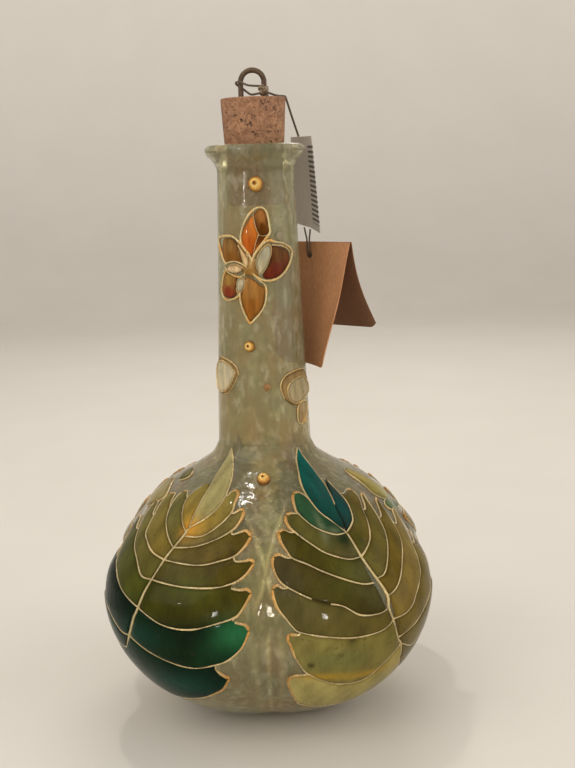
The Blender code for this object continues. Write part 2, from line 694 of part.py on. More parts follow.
def leaf_vein(row, side, t):
    """A point on a vein, from the spine at 0 to the notch at 1. Veins on the front side sag."""
    end = (math.radians(row[1 + side][0]), leaf_height(row[1 + side][1]))
    start = spine_point(row[0])
    sag = VEIN_SAG[side] * abs(end[0] - start[0]) / 0.45
    middle = ((start[0] + end[0]) / 2, (start[1] + end[1]) / 2 - sag)
    return arc_through(start, middle, end, t)


def leaflet(upper, lower, side):
    """The grid between two veins. Its outer edge runs out from the upper notch to the tip and back."""
    tip = (math.radians(upper[3 + side][0]), leaf_height(upper[3 + side][1]))
    tall = upper[1][1] - lower[1][1] > 0.11
    across = (0.0, LINE_SHARE, *((0.3, 0.5, 0.7) if tall else (0.5,)), 1 - LINE_SHARE, 1.0)
    along = (0.0, 0.08, 0.26, 0.44, 0.62, 0.81, 1.0)
    grid = []
    for s in across:
        line = []
        for t in along:
            high, low = leaf_vein(upper, side, t), leaf_vein(lower, side, t)
            inner = [a + (b - a) * s for a, b in zip(high, low)]
            notch_high, notch_low = leaf_vein(upper, side, 1.0), leaf_vein(lower, side, 1.0)
            straight = [a + (b - a) * s for a, b in zip(notch_high, notch_low)]
            near = 0.35
            if s < near:
                edge = [a + (b - a) * s / near for a, b in zip(notch_high, tip)]
            else:
                edge = [a + (b - a) * ((s - near) / (1 - near)) ** 1.4 for a, b in zip(tip, notch_low)]
            reach = t**2
            angle, z = (i + (e - c) * reach for i, e, c in zip(inner, edge, straight))
            on_line = s in (0.0, 1.0) or t in (0.0, 1.0)
            line.append((angle, z, LINE_HEIGHT if on_line else PANE_THICKNESS))
        grid.append(line)
    return grid


def top_leaflet(rows):
    """The pointed leaflet at the top, which widens from the end of the spine."""
    foot = [leaf_vein(rows[0], 0, 0.08), spine_point(rows[0][0]), leaf_vein(rows[0], 1, 0.08)]
    point = (math.radians(42.7), leaf_height(1.0))
    widths = ((0.12, 2.2, 2.0), (0.3, 6.3, 4.2), (0.5, 9.6, 5.8), (0.7, 10.4, 4.6), (0.88, 6.0, 1.8))
    grid = [[foot[0], foot[0], foot[1], foot[2], foot[2]]]
    for t, front, rear in widths:
        angle, z = (a + (b - a) * t for a, b in zip(foot[1], point))
        offsets = (-front, -front * 0.72, 0.0, rear * 0.72, rear)
        grid.append([(angle + math.radians(off), z) for off in offsets])
    grid.append([point] * 5)
    last = len(grid) - 1
    return [
        [(*p, LINE_HEIGHT if r in (0, last) or c in (0, 4) else PANE_THICKNESS) for c, p in enumerate(line)]
        for r, line in enumerate(grid)
    ]


def painted_leaf(name, rows, mirrored, behind, finish):
    """A leaf on one lobe. The back lobes carry the same leaf reflected front to back."""
    cells = [top_leaflet(rows)]
    for upper, lower in zip(rows, rows[1:]):
        cells += [leaflet(upper, lower, 0), leaflet(upper, lower, 1)]

    def placed(angle):
        turned_angle = math.pi - angle if behind else angle
        return -turned_angle if mirrored else turned_angle

    cells = [[[(placed(a), z, thick) for a, z, thick in line] for line in cell] for cell in cells]
    return coating(name, cells, finish)


def petal_grid(start, middle, end, direction, length, half_wide):
    """A petal from its place on the flower's hub to its tip, in metres from the flower's middle."""
    way = (math.cos(direction), math.sin(direction))
    grid = [[start, start, middle, end, end]]
    for t in (0.2, 0.42, 0.64, 0.84):
        reach = FLOWER_HUB_RADIUS + (length - FLOWER_HUB_RADIUS) * t
        wide = half_wide * math.sin(math.pi * min(t * 0.92 + 0.04, 1.0)) ** 0.8
        line = []
        for share in (-1.0, -0.8, 0.0, 0.8, 1.0):
            line.append((way[0] * reach - way[1] * wide * share, way[1] * reach + way[0] * wide * share))
        grid.append(line)
    grid.append([(way[0] * length, way[1] * length)] * 5)
    return grid


def flower_relief(finish):
    """Five petals round a small hub, laid on the neck."""
    height = GLASS_HEIGHT * FLOWER_HEIGHT_SHARE
    radius = lobed_radius(FLOWER_ANGLE, height)
    petals = sorted(PETALS)
    count = len(petals)
    notches = []
    for n, petal in enumerate(petals):
        after = petals[(n + 1) % count][0] + (360.0 if n == count - 1 else 0.0)
        middle = math.radians((petal[0] + after) / 2)
        notches.append((FLOWER_HUB_RADIUS * math.cos(middle), FLOWER_HUB_RADIUS * math.sin(middle)))
    cells, rim = [], []
    for n, (degrees, length, half_wide) in enumerate(petals):
        start, end = notches[n - 1], notches[n]
        middle = ((start[0] + end[0]) / 2, (start[1] + end[1]) / 2)
        cells.append(petal_grid(start, middle, end, math.radians(degrees), length, half_wide))
        rim += [start, middle]
    cells.append([rim + rim[:1], [(0.0, 0.0)] * (len(rim) + 1)])
    raised = []
    for cell in cells:
        last = len(cell[0]) - 1
        grid = []
        for r, line in enumerate(cell):
            row = []
            for c, (x, y) in enumerate(line):
                on_line = last > 4 or c in (0, last) or r in (0, len(cell) - 1)
                thick = LINE_HEIGHT if on_line else PANE_THICKNESS
                row.append((FLOWER_ANGLE + x / radius, height + y, thick))
            grid.append(row)
        raised.append(grid)
    return coating("flower_relief", raised, finish)


def bud_relief(name, share, degrees, finish):
    """A small upright pointed lens on the neck, with a raised line round it."""
    foot = GLASS_HEIGHT * share - BUD_LENGTH / 2
    radius = lobed_radius(0.0, GLASS_HEIGHT * share)
    middle = math.radians(degrees)
    grid = [[(middle, foot, LINE_HEIGHT)] * 7]
    for t in (0.16, 0.38, 0.62, 0.84):
        z = foot + BUD_LENGTH * t
        wide = BUD_HALF_WIDTH * math.sin(math.pi * t) ** 0.8 / radius
        line = [(middle + wide * share, z, PANE_THICKNESS) for share in (-0.8, -0.4, 0.0, 0.4, 0.8)]
        grid.append([(middle - wide, z, LINE_HEIGHT), *line, (middle + wide, z, LINE_HEIGHT)])
    grid.append([(middle, foot + BUD_LENGTH, LINE_HEIGHT)] * 7)
    return coating(name, [grid], finish)


def gold_dot(name, share, degrees, radius, finish):
    """A bead of gold with a dimple, its flat back towards the glass."""
    angle, z = math.radians(degrees), GLASS_HEIGHT * share
    seat = on_glass(angle, z, FILM_LIFT)
    outward = (on_glass(angle, z, FILM_LIFT * 2) - seat).normalized()
    profile = [(1.0, 0.0), (1.0, 0.35), (0.8, 0.8), (0.5, 1.0), (0.28, 0.85), (0.15, 0.62)]
    rings = turned([(radius * r, DOT_HEIGHT * h) for r, h in profile], 16)
    mesh = bmesh.new()
    skin_of_rings(mesh, rings)
    mesh.transform(Matrix.Translation(seat) @ outward.to_track_quat("Z", "Y").to_matrix().to_4x4())
    return object_of(name, mesh, finish, tuple(seat))


def main():
    clear_scene()
    glass = material("sage_glass", (0.27, 0.29, 0.17), 0.08, transmission=0.6)
    cork = material("cork", (0.42, 0.20, 0.10), 0.85)
    bronze = material("bronze_wire", (0.10, 0.07, 0.05), 0.45, metallic=0.9)
    twine = material("twine", (0.16, 0.12, 0.08), 0.9)
    paper = material("white_card", (0.62, 0.60, 0.58), 0.7)
    kraft = material("kraft_card", (0.27, 0.14, 0.08), 0.85)
    enamel = material("leaf_enamel", (0.08, 0.12, 0.04), 0.2)
    petals = material("petal_enamel", (0.45, 0.16, 0.04), 0.2)
    gold = material("gold_paint", (0.55, 0.36, 0.14), 0.3, metallic=0.6)

    glass_bottle(glass)
    painted_leaf("leaf_left_front", LEFT_LEAF, True, False, enamel)
    painted_leaf("leaf_right_front", RIGHT_LEAF, False, False, enamel)
    painted_leaf("leaf_left_back", LEFT_LEAF, True, True, enamel)
    painted_leaf("leaf_right_back", RIGHT_LEAF, False, True, enamel)
    flower_relief(petals)
    for name, share, degrees in BUDS:
        bud_relief(name, share, degrees, petals)
    for name, share, degrees, radius in DOTS:
        gold_dot(name, share, degrees, radius, gold)
    cork_stopper(cork)
    wire_loop(bronze)
    twine_knot(twine)
    twine_round_leg(twine)
    twine_run(twine)
    price_ticket(paper)
    tag_strands(twine)
    hang_tag_front(kraft)
    hang_tag_back(kraft)


main()
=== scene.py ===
"""The looks of a stoppered glass carafe: a lobed blown bottle with raised, painted leaves and a flower,
its cork with a wire loop, and the ticket and folded tag that hang from it on twine.

Everything is in metres in the CAD model's own frame: +Z up, the front towards -Y, and the middle of the
flat base at the origin. Angles round the bottle start at the front and grow towards +X.
"""

import math

import bmesh
import bpy
import numpy as np
from mathutils import Matrix, Vector


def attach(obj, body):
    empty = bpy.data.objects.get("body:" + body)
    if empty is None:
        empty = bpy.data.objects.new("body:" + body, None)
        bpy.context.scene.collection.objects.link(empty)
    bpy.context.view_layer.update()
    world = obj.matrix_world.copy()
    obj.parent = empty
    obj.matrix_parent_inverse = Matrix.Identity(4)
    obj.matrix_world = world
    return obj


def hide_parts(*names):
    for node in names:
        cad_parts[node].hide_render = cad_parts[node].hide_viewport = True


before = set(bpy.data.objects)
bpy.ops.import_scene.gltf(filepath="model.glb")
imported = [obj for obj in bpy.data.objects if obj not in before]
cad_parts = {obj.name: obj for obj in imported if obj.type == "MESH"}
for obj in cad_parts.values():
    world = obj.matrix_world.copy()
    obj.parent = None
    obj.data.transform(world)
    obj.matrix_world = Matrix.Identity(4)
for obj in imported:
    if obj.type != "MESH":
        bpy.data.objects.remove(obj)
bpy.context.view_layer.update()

bl_info = {
    "name": "Stoppered Glass Carafe",
    "version": (1, 0, 0),
    "blender": (4, 5, 0),
    "location": "3D View > Sidebar > Carafe",
    "description": "Builds a lobed glass carafe with raised leaves, a cork and hanging tags",
    "category": "Object",
}

# Bottle, as in the CAD model
GLASS_HEIGHT = 0.250
BASE_RADIUS = 0.018
BELLY_HEIGHT = 0.062
BELLY_HALF_WIDTH = 0.0705
NECK_FOOT_HEIGHT = 0.121
NECK_FOOT_RADIUS = 0.0199
NECK_TOP_RADIUS = 0.0159
NECK_TOP_HEIGHT = 0.2385
LIP_RADIUS = 0.0215
LIP_ROLL_RADIUS = 0.0022
LIP_FOOT_HEIGHT = GLASS_HEIGHT - 1.75 * LIP_ROLL_RADIUS
WALL = 0.0028
FLOOR_THICKNESS = 0.007
MOUTH_EDGE = 0.0006
SEAT_FOOT_HEIGHT = 0.237
BORE_BLEND = 0.010
LOBES = 4
LOBE_SPREAD_SHARE = 0.75
CREASE_SOFTNESS = 0.0015

# Cork, loop, twine, ticket and tag, as in the CAD model
CORK_TOP = 0.2693
CORK_TOP_RADIUS = 0.0139
CORK_BOTTOM_RADIUS = 0.0113
CORK_LENGTH = 0.0448
CORK_GAP = 0.0003
LOOP_REACH = 0.00495
LOOP_RISE = 0.0127
LOOP_HALF_WIDTH = 0.0061
WIRE_RADIUS = 0.00115
CLEARANCE = 0.0003
TWINE_RADIUS = 0.0005
STRAND_RADIUS = 0.0004
KNOT_SIZE = 0.0006
WOUND_TURNS = 5
CORK_EDGE_ANGLE = math.radians(108.0)
TICKET_TOP_HEIGHT = 0.2531
TICKET_LENGTH = 0.039
TICKET_MAIN_WIDTH = 0.0092
TICKET_STRIP_WIDTH = 0.0050
TICKET_FOLD = 0.0042
TICKET_TOP = ((131.7, 0.0041), 46.3, 59.8, 0.0)
TICKET_BOTTOM = ((132.8, 0.0059), 34.9, 37.6, 0.25)
TAG_PLACE = (127.6, 0.0072)
TAG_HOLE_BELOW_TICKET = 0.0130
TAG_WIDTH = 0.044
TAG_FRONT_LENGTH = 0.054
TAG_BACK_DROP = 0.040
TAG_BACK_REACH = 0.0185
CARD_THICKNESS = 0.0005
TAG_CORNER = 0.004
TAG_FOLD_GAP = 0.0006
TAG_HOLE_RADIUS = 0.0016
TAG_HOLE_BELOW_FOLD = 0.0056
TAG_TURN = math.radians(38.0)
TAG_CURL = (120.5, 93.4, 0.0011, 0.0200)
# Painted shade on the inner face of the tag's back leaf, as shares of the card's colour
CARD_INSIDE_SHADE = (0.34, 0.34, 0.36)
CORK_CHAMFER = 0.0006
CORK_ROUND = 0.0005
CORK_GIRTH = 0.0135
CORK_PITS = 230
PIT_STRETCH = 1.9
LOOP_LEG_DEPTH = 0.0125
TWINE_SIDES = 15
PLIES = 3
PLY_GROOVE = 0.22
PUNCH_LENGTH = 0.008
KNOT_TIGHT = 0.92
WOUND_TIGHT = 0.8
WOUND_PITCH = 1.75
WOUND_FOOT = 0.0007
TICKET_ROWS = 118
TICKET_THINNER = 0.7
BAR_ROWS = 3
BAR_MARGIN = 9
BAR_GAP = 0.0012
CARD_SHARP = 30.0
TAG_BOW = 0.0006
TAG_WAVE = 0.00015
TAG_BACK_BOW = 0.002
TAG_BACK_FLARE = 0.25

SHOULDER_SHAPE = ((0.0, 1.0), (0.137, 0.966), (0.306, 0.851), (0.475, 0.717), (0.645, 0.519), (0.814, 0.205),
                  (0.915, 0.05), (1.0, 0.0))
LOBE_FADE_BELOW = ((0.0, 0.45), (0.2, 0.76), (0.45, 0.92), (0.7, 1.0), (1.0, 1.0))
LOBE_FADE_ABOVE = ((0.0, 1.0), (0.15, 0.92), (0.4, 0.67), (0.56, 0.43), (0.73, 0.22), (0.9, 0.05), (1.0, 0.0))
WEB_BELOW = ((0.0, 0.95), (0.25, 0.905), (0.6, 0.88), (0.78, 0.90), (1.0, 0.945))
WEB_ABOVE = ((0.0, 0.945), (0.3, 0.945), (0.4, 0.97), (0.56, 1.0), (1.0, 1.0))

# Each leaflet's line runs from the leaf's spine to the notch above the next leaflet, then on round to the
# leaflet's tip, where the short shelf from the notch above meets it. The first shelf starts on the leaf's
# end. A point is (degrees from the front crease, millimetres up). The colours are the pane's near the spine
# and near the tip.
LEFT_FRONT = (
    (((34, 91.8), (26.3, 92.5), (20.2, 96.5), (16.5, 100.5)), ((16.8, 102.8), (16.5, 105.3), (17.9, 106.6)),
     ((24.2, 104.6), (22.6, 105), (21.4, 106.2)), (186, 138, 52), (126, 116, 62)),
    (((36.2, 87.8), (27.8, 89), (20.5, 91.5), (14.5, 94.5)), ((12.6, 96.2), (11, 98.6), (10.6, 100.8)),
     ((16.4, 99.7), (14.6, 100.3), (12.4, 101.2)), (114, 97, 52), (114, 102, 58)),
    (((37.8, 83.5), (24.5, 83), (17, 84.5), (12, 86)), ((9.6, 87.8), (7.6, 90), (5.9, 92.6)),
     ((14.1, 93.3), (11.4, 93.8), (8.2, 94.5)), (97, 83, 40), (90, 76, 36)),
    (((39.2, 76.5), (26.5, 75.5), (17, 75.5), (12.2, 76.5)), ((9.6, 77.5), (6.8, 79.8), (4.5, 83)),
     ((11.6, 84.3), (8, 84.1), (5.6, 84.4)), (80, 72, 34), (78, 68, 30)),
    (((41, 66), (31.5, 61), (23.8, 60), (16.5, 62), (10.5, 64)), ((8.6, 66.2), (6.8, 69.5), (5.3, 72.4)),
     ((12.2, 75.1), (9.2, 74.1), (6.6, 74)), (64, 64, 26), (72, 66, 28)),
    (((45.8, 52.5), (37.2, 46.5), (25.8, 42), (17.8, 43.5)), ((13.6, 45.4), (9, 50.5), (6.3, 57.5)),
     ((11.2, 62.6), (9.4, 61.3), (7.4, 60.2)), (26, 42, 26), (42, 90, 60)),
    (((52.2, 41.8), (57, 33), (53, 24.5), (42.8, 20.2), (28.2, 23.5), (18.8, 29)),
     ((16.6, 31.6), (14.4, 35.8)), ((18, 41.6), (17, 39), (15.6, 37.1)), (22, 48, 32), (12, 36, 28)),
)
LEFT_REAR = (
    (((36.2, 87.8), (40.4, 90.2), (45.4, 93.2), (49, 95.5), (52.6, 98.5)), ((55.6, 101.6), (55.8, 103.8)),
     ((47, 102.6), (49, 103), (53, 104.2)), (92, 86, 42), (112, 104, 58)),
    (((37.8, 83.5), (44.8, 85), (50.6, 87.5), (55, 89.5), (59.4, 94.8)), ((64, 99), (65.2, 101.6)),
     ((55, 99.6), (60.4, 102.4)), (116, 98, 44), (124, 110, 56)),
    (((39.2, 76.5), (44, 76.8), (50.3, 81), (57, 84.5), (63, 89)), ((69, 94), (71.6, 98)),
     ((62, 95.2), (67.4, 98.2)), (90, 84, 40), (112, 102, 52)),
    (((41, 66), (48.6, 69.5), (57.6, 74), (67.2, 77.5)), ((74, 84), (78, 90)), ((66, 88.6), (73, 91)),
     (72, 76, 30), (82, 80, 34)),
    (((45.8, 52.5), (50, 52.6), (55.8, 57), (66, 64)), ((76, 69), (82, 76)), ((70, 76.4), (78, 78.4)),
     (16, 38, 24), (14, 30, 20)),
    (((49.4, 45.4), (55, 43), (63, 44), (72, 50)), ((80, 57), (83, 64)), ((69, 62), (78, 64)), (14, 32, 22),
     (12, 26, 18)),
    (((53, 40), (58, 30), (67, 29), (76, 37)), ((82, 44), (83, 50)), ((74, 48), (80, 51)), (14, 34, 24),
     (10, 24, 18)),
)
LEFT_SPINE = ((34, 94.5), (34.6, 91.8), (36.2, 87.8), (37.8, 83.5), (39.2, 76.5), (40, 71), (41, 66),
              (43.2, 58.5), (45.8, 52.5), (48.6, 47), (52.2, 41.8))
RIGHT_FRONT = (
    (((34.2, 91.5), (29, 91.5), (22, 94.5), (16.4, 99.5)), ((16, 101.2), (16.4, 103.5), (17.9, 105.2)),
     ((25.6, 102.6), (23.8, 104.5), (21, 105.4)), (34, 58, 36), (52, 84, 58)),
    (((35.2, 83), (30, 83), (22.8, 86), (18.8, 89), (13, 93.5)), ((11, 95.2), (9.9, 97.6), (10.6, 99)),
     ((15.8, 99.3), (13, 99.5)), (88, 82, 46), (92, 86, 44)),
    (((35.6, 73.8), (30.8, 74.5), (20.8, 79.5), (15.6, 82.5), (10.4, 84.8)),
     ((8.6, 87.3), (6.6, 90.5), (5.9, 93.6)), ((11.2, 93.4), (8.4, 94.4)), (76, 72, 34), (74, 66, 28)),
    (((37.8, 63.5), (34.8, 62.5), (28.8, 63.2), (23.8, 67.5), (17.2, 69.5), (8.2, 74.2)),
     ((5.4, 76.2), (3.7, 79.2), (2.9, 82.4), (3.4, 85.2)), ((8.2, 84.9), (5.6, 86)), (68, 62, 30),
     (74, 64, 34)),
    (((39.5, 58), (35.8, 55), (27.8, 54), (20.2, 55), (11, 57)),
     ((8.8, 59), (6.6, 62.4), (4.3, 65.6), (2.9, 69.4), (2.4, 73.4)), ((6, 73.9), (4.2, 74.9)), (100, 88, 42),
     (86, 80, 48)),
    (((44.8, 45.2), (39.2, 36.8), (34, 30.6), (24.4, 31), (14.4, 36.8)),
     ((11.3, 41.5), (9.3, 45.8), (8.3, 49.8), (7.1, 53.4), (7.4, 55.3)), ((10.8, 55.7), (8.8, 55.6)),
     (118, 108, 54), (126, 116, 66)),
    (((48.2, 36), (54.8, 23), (45, 15.2), (25.2, 15), (14, 17.6)), ((10.7, 22), (8.5, 27.5), (7.3, 32.6)),
     ((12.6, 36.2), (9.4, 35.4)), (150, 134, 72), (168, 156, 98)),
)
RIGHT_REAR = (
    (((35.2, 83), (38.2, 84.8), (42.4, 87.8), (47.2, 93), (49.8, 96.5)), ((54.4, 100), (55.8, 102.6)),
     ((45.8, 103), (48, 102.6), (53, 103.2)), (104, 90, 38), (100, 86, 40)),
    (((37, 75), (40.8, 76), (46, 81), (51.4, 87.3), (54.6, 92.6)), ((58, 98), (61, 100.6)),
     ((52, 96.6), (57.4, 100)), (100, 90, 40), (104, 92, 48)),
    (((38.6, 68.2), (42.6, 70.2), (49.8, 76.5), (58.2, 83.4), (61.2, 89)), ((65, 94), (68, 97.4)),
     ((57.4, 92.6), (63.6, 96.2)), (104, 84, 30), (106, 90, 38)),
    (((39.6, 58.6), (45.8, 59.8), (51.8, 66), (58, 72), (65, 80)), ((71, 86), (75, 91)), ((64, 88), (71, 91)),
     (122, 102, 48), (130, 110, 60)),
    (((42.4, 49), (50, 52), (58, 58), (67, 65)), ((75, 71), (80, 78)), ((68, 78.6), (77, 80)), (108, 92, 44),
     (112, 96, 48)),
    (((44.8, 45.2), (54, 40), (64, 43), (73, 50)), ((80, 57), (83, 64)), ((70, 63), (79, 65)), (106, 92, 46),
     (100, 88, 46)),
    (((48.2, 36), (57, 26), (67, 26), (76, 35)), ((82, 42), (83, 49)), ((75, 47), (81, 50)), (104, 90, 48),
     (96, 84, 46)),
)
RIGHT_SPINE = ((34.2, 91.5), (34.6, 87.5), (35.2, 83), (36.2, 78.5), (37, 75), (38.6, 68.2), (38.2, 63.5),
               (39.6, 58), (42.4, 49), (44.8, 45.2), (48.2, 36))
# Touches of another colour in the front leaves' panes: degrees, millimetres up, reach across and up in
# millimetres, colour and strength
PANE_TOUCHES = {
    "left": ((33.2, 94.4, 3.6, 3.2, (216, 156, 62), 0.9), (11.4, 57.5, 6.5, 6, (46, 104, 66), 0.95),
             (24, 59, 9, 6, (20, 34, 20), 0.8), (25, 75, 7, 4, (84, 92, 40), 0.5),
             (33, 82.6, 6, 4, (104, 98, 52), 0.4), (41, 55, 8, 6, (18, 60, 46), 0.85),
             (32, 32, 12, 6, (16, 70, 56), 0.8), (60, 52, 8, 8, (14, 60, 46), 0.8),
             (62, 38, 8, 8, (14, 60, 48), 0.8)),
    # On the right leaf, the two pale grey touches at 24.5 and 28.6 degrees are a painted reflection.
    "right": ((31.4, 89.6, 3.4, 2.4, (24, 46, 32), 0.9), (37.4, 87.6, 2.6, 3.4, (66, 72, 28), 0.6),
              (39.5, 99.5, 4, 5, (22, 80, 76), 0.7), (24.5, 93.6, 1.4, 4.4, (126, 132, 100), 0.6),
              (28.6, 92.4, 3, 1.3, (126, 132, 100), 0.5), (18, 36, 9, 1.6, (176, 140, 48), 0.8),
              (34, 34.6, 10, 1.6, (176, 140, 48), 0.8), (23, 44, 9, 5, (110, 118, 70), 0.5),
              (14.6, 42, 0.9, 1.2, (26, 26, 16), 0.95), (23, 45.8, 1.1, 0.9, (34, 34, 20), 0.9),
              (26.2, 52.6, 1.3, 0.8, (34, 36, 20), 0.8), (19.6, 50.6, 0.7, 0.7, (34, 34, 20), 0.8),
              (24, 73, 10, 5, (82, 80, 36), 0.5), (30, 79, 6, 4, (96, 96, 50), 0.4)),
}
# The two lobes of the leaf's end: (one edge, other edge, low colour, high colour), each edge from the foot up
LEFT_END = (
    (((34, 94.5), (30, 96.8), (26.8, 99.2), (24.6, 101.6), (24, 105.2), (27.8, 111), (35.2, 115.4),
      (43.4, 120.5)),
     ((34, 94.5), (34.9, 97.6), (36, 101.2), (38.6, 105.8), (42, 110), (45.2, 114.6), (43.6, 120.5)),
     (160, 147, 90), (160, 150, 106)),
    (((34, 94.5), (34.9, 97.6), (36, 101.2), (38.6, 105.8), (41.6, 107.4)),
     ((34.4, 93.2), (38.8, 95.8), (42.6, 98.5), (46, 101.2), (48, 104), (45.4, 107)), (172, 138, 56),
     (120, 108, 58)),
)
RIGHT_END = (
    (((34.2, 91.5), (30.6, 95.5), (26.6, 99.6), (25.2, 104.5), (27.2, 109), (35.2, 115.2), (42.8, 120.2)),
     ((35.2, 94.6), (36.2, 99), (39.4, 103.4), (42.4, 106.5), (44.4, 110), (46.4, 114.4), (43.2, 120)),
     (34, 60, 52), (22, 92, 84)),
    (((34.4, 91.8), (35.2, 94.6), (36.2, 99), (38.8, 103), (43, 105.6), (46.8, 107.4)),
     ((34.2, 91.5), (38.4, 93.5), (41, 95.2), (44.4, 99.5), (45.8, 103.5), (47.2, 107.4)), (34, 52, 46),
     (44, 62, 58)),
)

# The flower lies round its middle on the neck: x to the right and y up in millimetres.
FLOWER_ANGLE = math.radians(-9.6)
FLOWER_HEIGHT = 0.1993
FLOWER_PANES = (
    ("pane",
     ((-0.5, 3.5), (1.3, 3.7), (2.2, 1.7), (2.5, -1.3), (3.4, -3.5), (1.3, -4.3), (-1, -3.8), (-3.3, -3.4),
      (-2.9, -0.5), (-1.2, 0.7)), (150, 112, 58), (176, 136, 84)),
    ("pane",
     ((1.8, 21.2), (0.3, 19.9), (-1.5, 17.5), (-3, 14.5), (-3.8, 10.9), (-2.6, 7.5), (-0.5, 5.7), (0.6, 4.5),
      (1.8, 7.2), (2.7, 10.2), (3.3, 11.9), (3.7, 13.5), (3, 15.5), (2.3, 17.9)), (184, 92, 36),
     (200, 118, 52)),
    ("pane",
     ((2.2, 21.7), (3.5, 23.2), (5.3, 23.9), (6.9, 22.7), (7.7, 20.2), (8.2, 16.9), (8.6, 14.2), (6.4, 12.9),
      (4.1, 13.2), (3.2, 15.7), (2.6, 18.5)), (96, 56, 16), (160, 106, 56)),
    ("pane",
     ((4.1, 12.7), (6.4, 12.7), (8, 12.9), (6.4, 11.2), (4.4, 8.9), (2.8, 7), (1.3, 4.7), (1.9, 7.2),
      (3, 10.5)), (150, 84, 34), (100, 58, 20)),
    ("pane",
     ((9.6, 8.2), (11.9, 8), (15.1, 7), (17.4, 5.5), (18, 3.2), (16.6, 0.2), (14.5, -2.3), (11.7, -4.5),
      (8.7, -5.3), (6.1, -5.3), (5, -4.1), (5.8, -2.5), (7.4, -0.3), (8.4, 2.2), (9.2, 5.2)), (110, 48, 34),
     (104, 68, 36)),
    ("pane",
     ((-13.8, 10.9), (-10.9, 11.9), (-7.8, 11.5), (-6, 9.5), (-4.7, 6.7), (-4.1, 4.2), (-4, 1.9), (-6.6, 1.9),
      (-9.5, 1.9), (-12.4, 1.9), (-13.8, 3.5), (-14.9, 7)), (136, 90, 42), (144, 106, 58)),
    ("pane",
     ((-12.3, -3.1), (-9.6, -3.3), (-7, -4.3), (-6.5, -6.5), (-6.9, -9.3), (-6.7, -11.5), (-8.6, -13.1),
      (-11.5, -13.3), (-14.2, -12.1), (-14.9, -9.1), (-14, -5.8)), (134, 60, 40), (158, 120, 62)),
    ("pane",
     ((-1.8, -4.3), (-2.9, -7.8), (-4.4, -12.1), (-4, -15.5), (-2.6, -19.5), (-0.9, -23.1), (0.8, -21.5),
      (3.2, -19.1), (5, -15.5), (5.5, -12.1), (5.5, -9.1), (3.4, -7.3), (1.2, -5.5)), (148, 92, 38),
     (166, 118, 62)),
    ("glaze",
     ((2.9, -1.3), (2.4, 0.9), (3, 3.7), (5, 7), (7.4, 8.7), (8.7, 7.7), (8.7, 5.2), (8, 2.9), (6.7, -0.1),
      (4.7, -2.5), (3.5, -3.5)), (190, 176, 142), (172, 166, 140)),
    ("glaze", ((-4.5, 8.2), (-2.9, 6.5), (-1.3, 4.2), (-0.6, 1.5), (-1.6, -0.1), (-3, 1.9), (-3.8, 5)),
     (222, 188, 140), (216, 180, 130)),
    ("glaze",
     ((-11.2, -0.8), (-9, 0.5), (-6.2, 0.7), (-4.1, -0.3), (-3.5, -1.3), (-4.9, -2.3), (-7.7, -2.8),
      (-10.1, -2.1)), (222, 190, 146), (214, 182, 136)),
    ("glaze",
     ((-6.3, -8.5), (-5.9, -6.3), (-4.7, -5.1), (-3.3, -5.3), (-2.6, -6.5), (-3, -8.5), (-4.3, -10.5),
      (-5.5, -10.8)), (184, 170, 138), (194, 182, 150)),
)
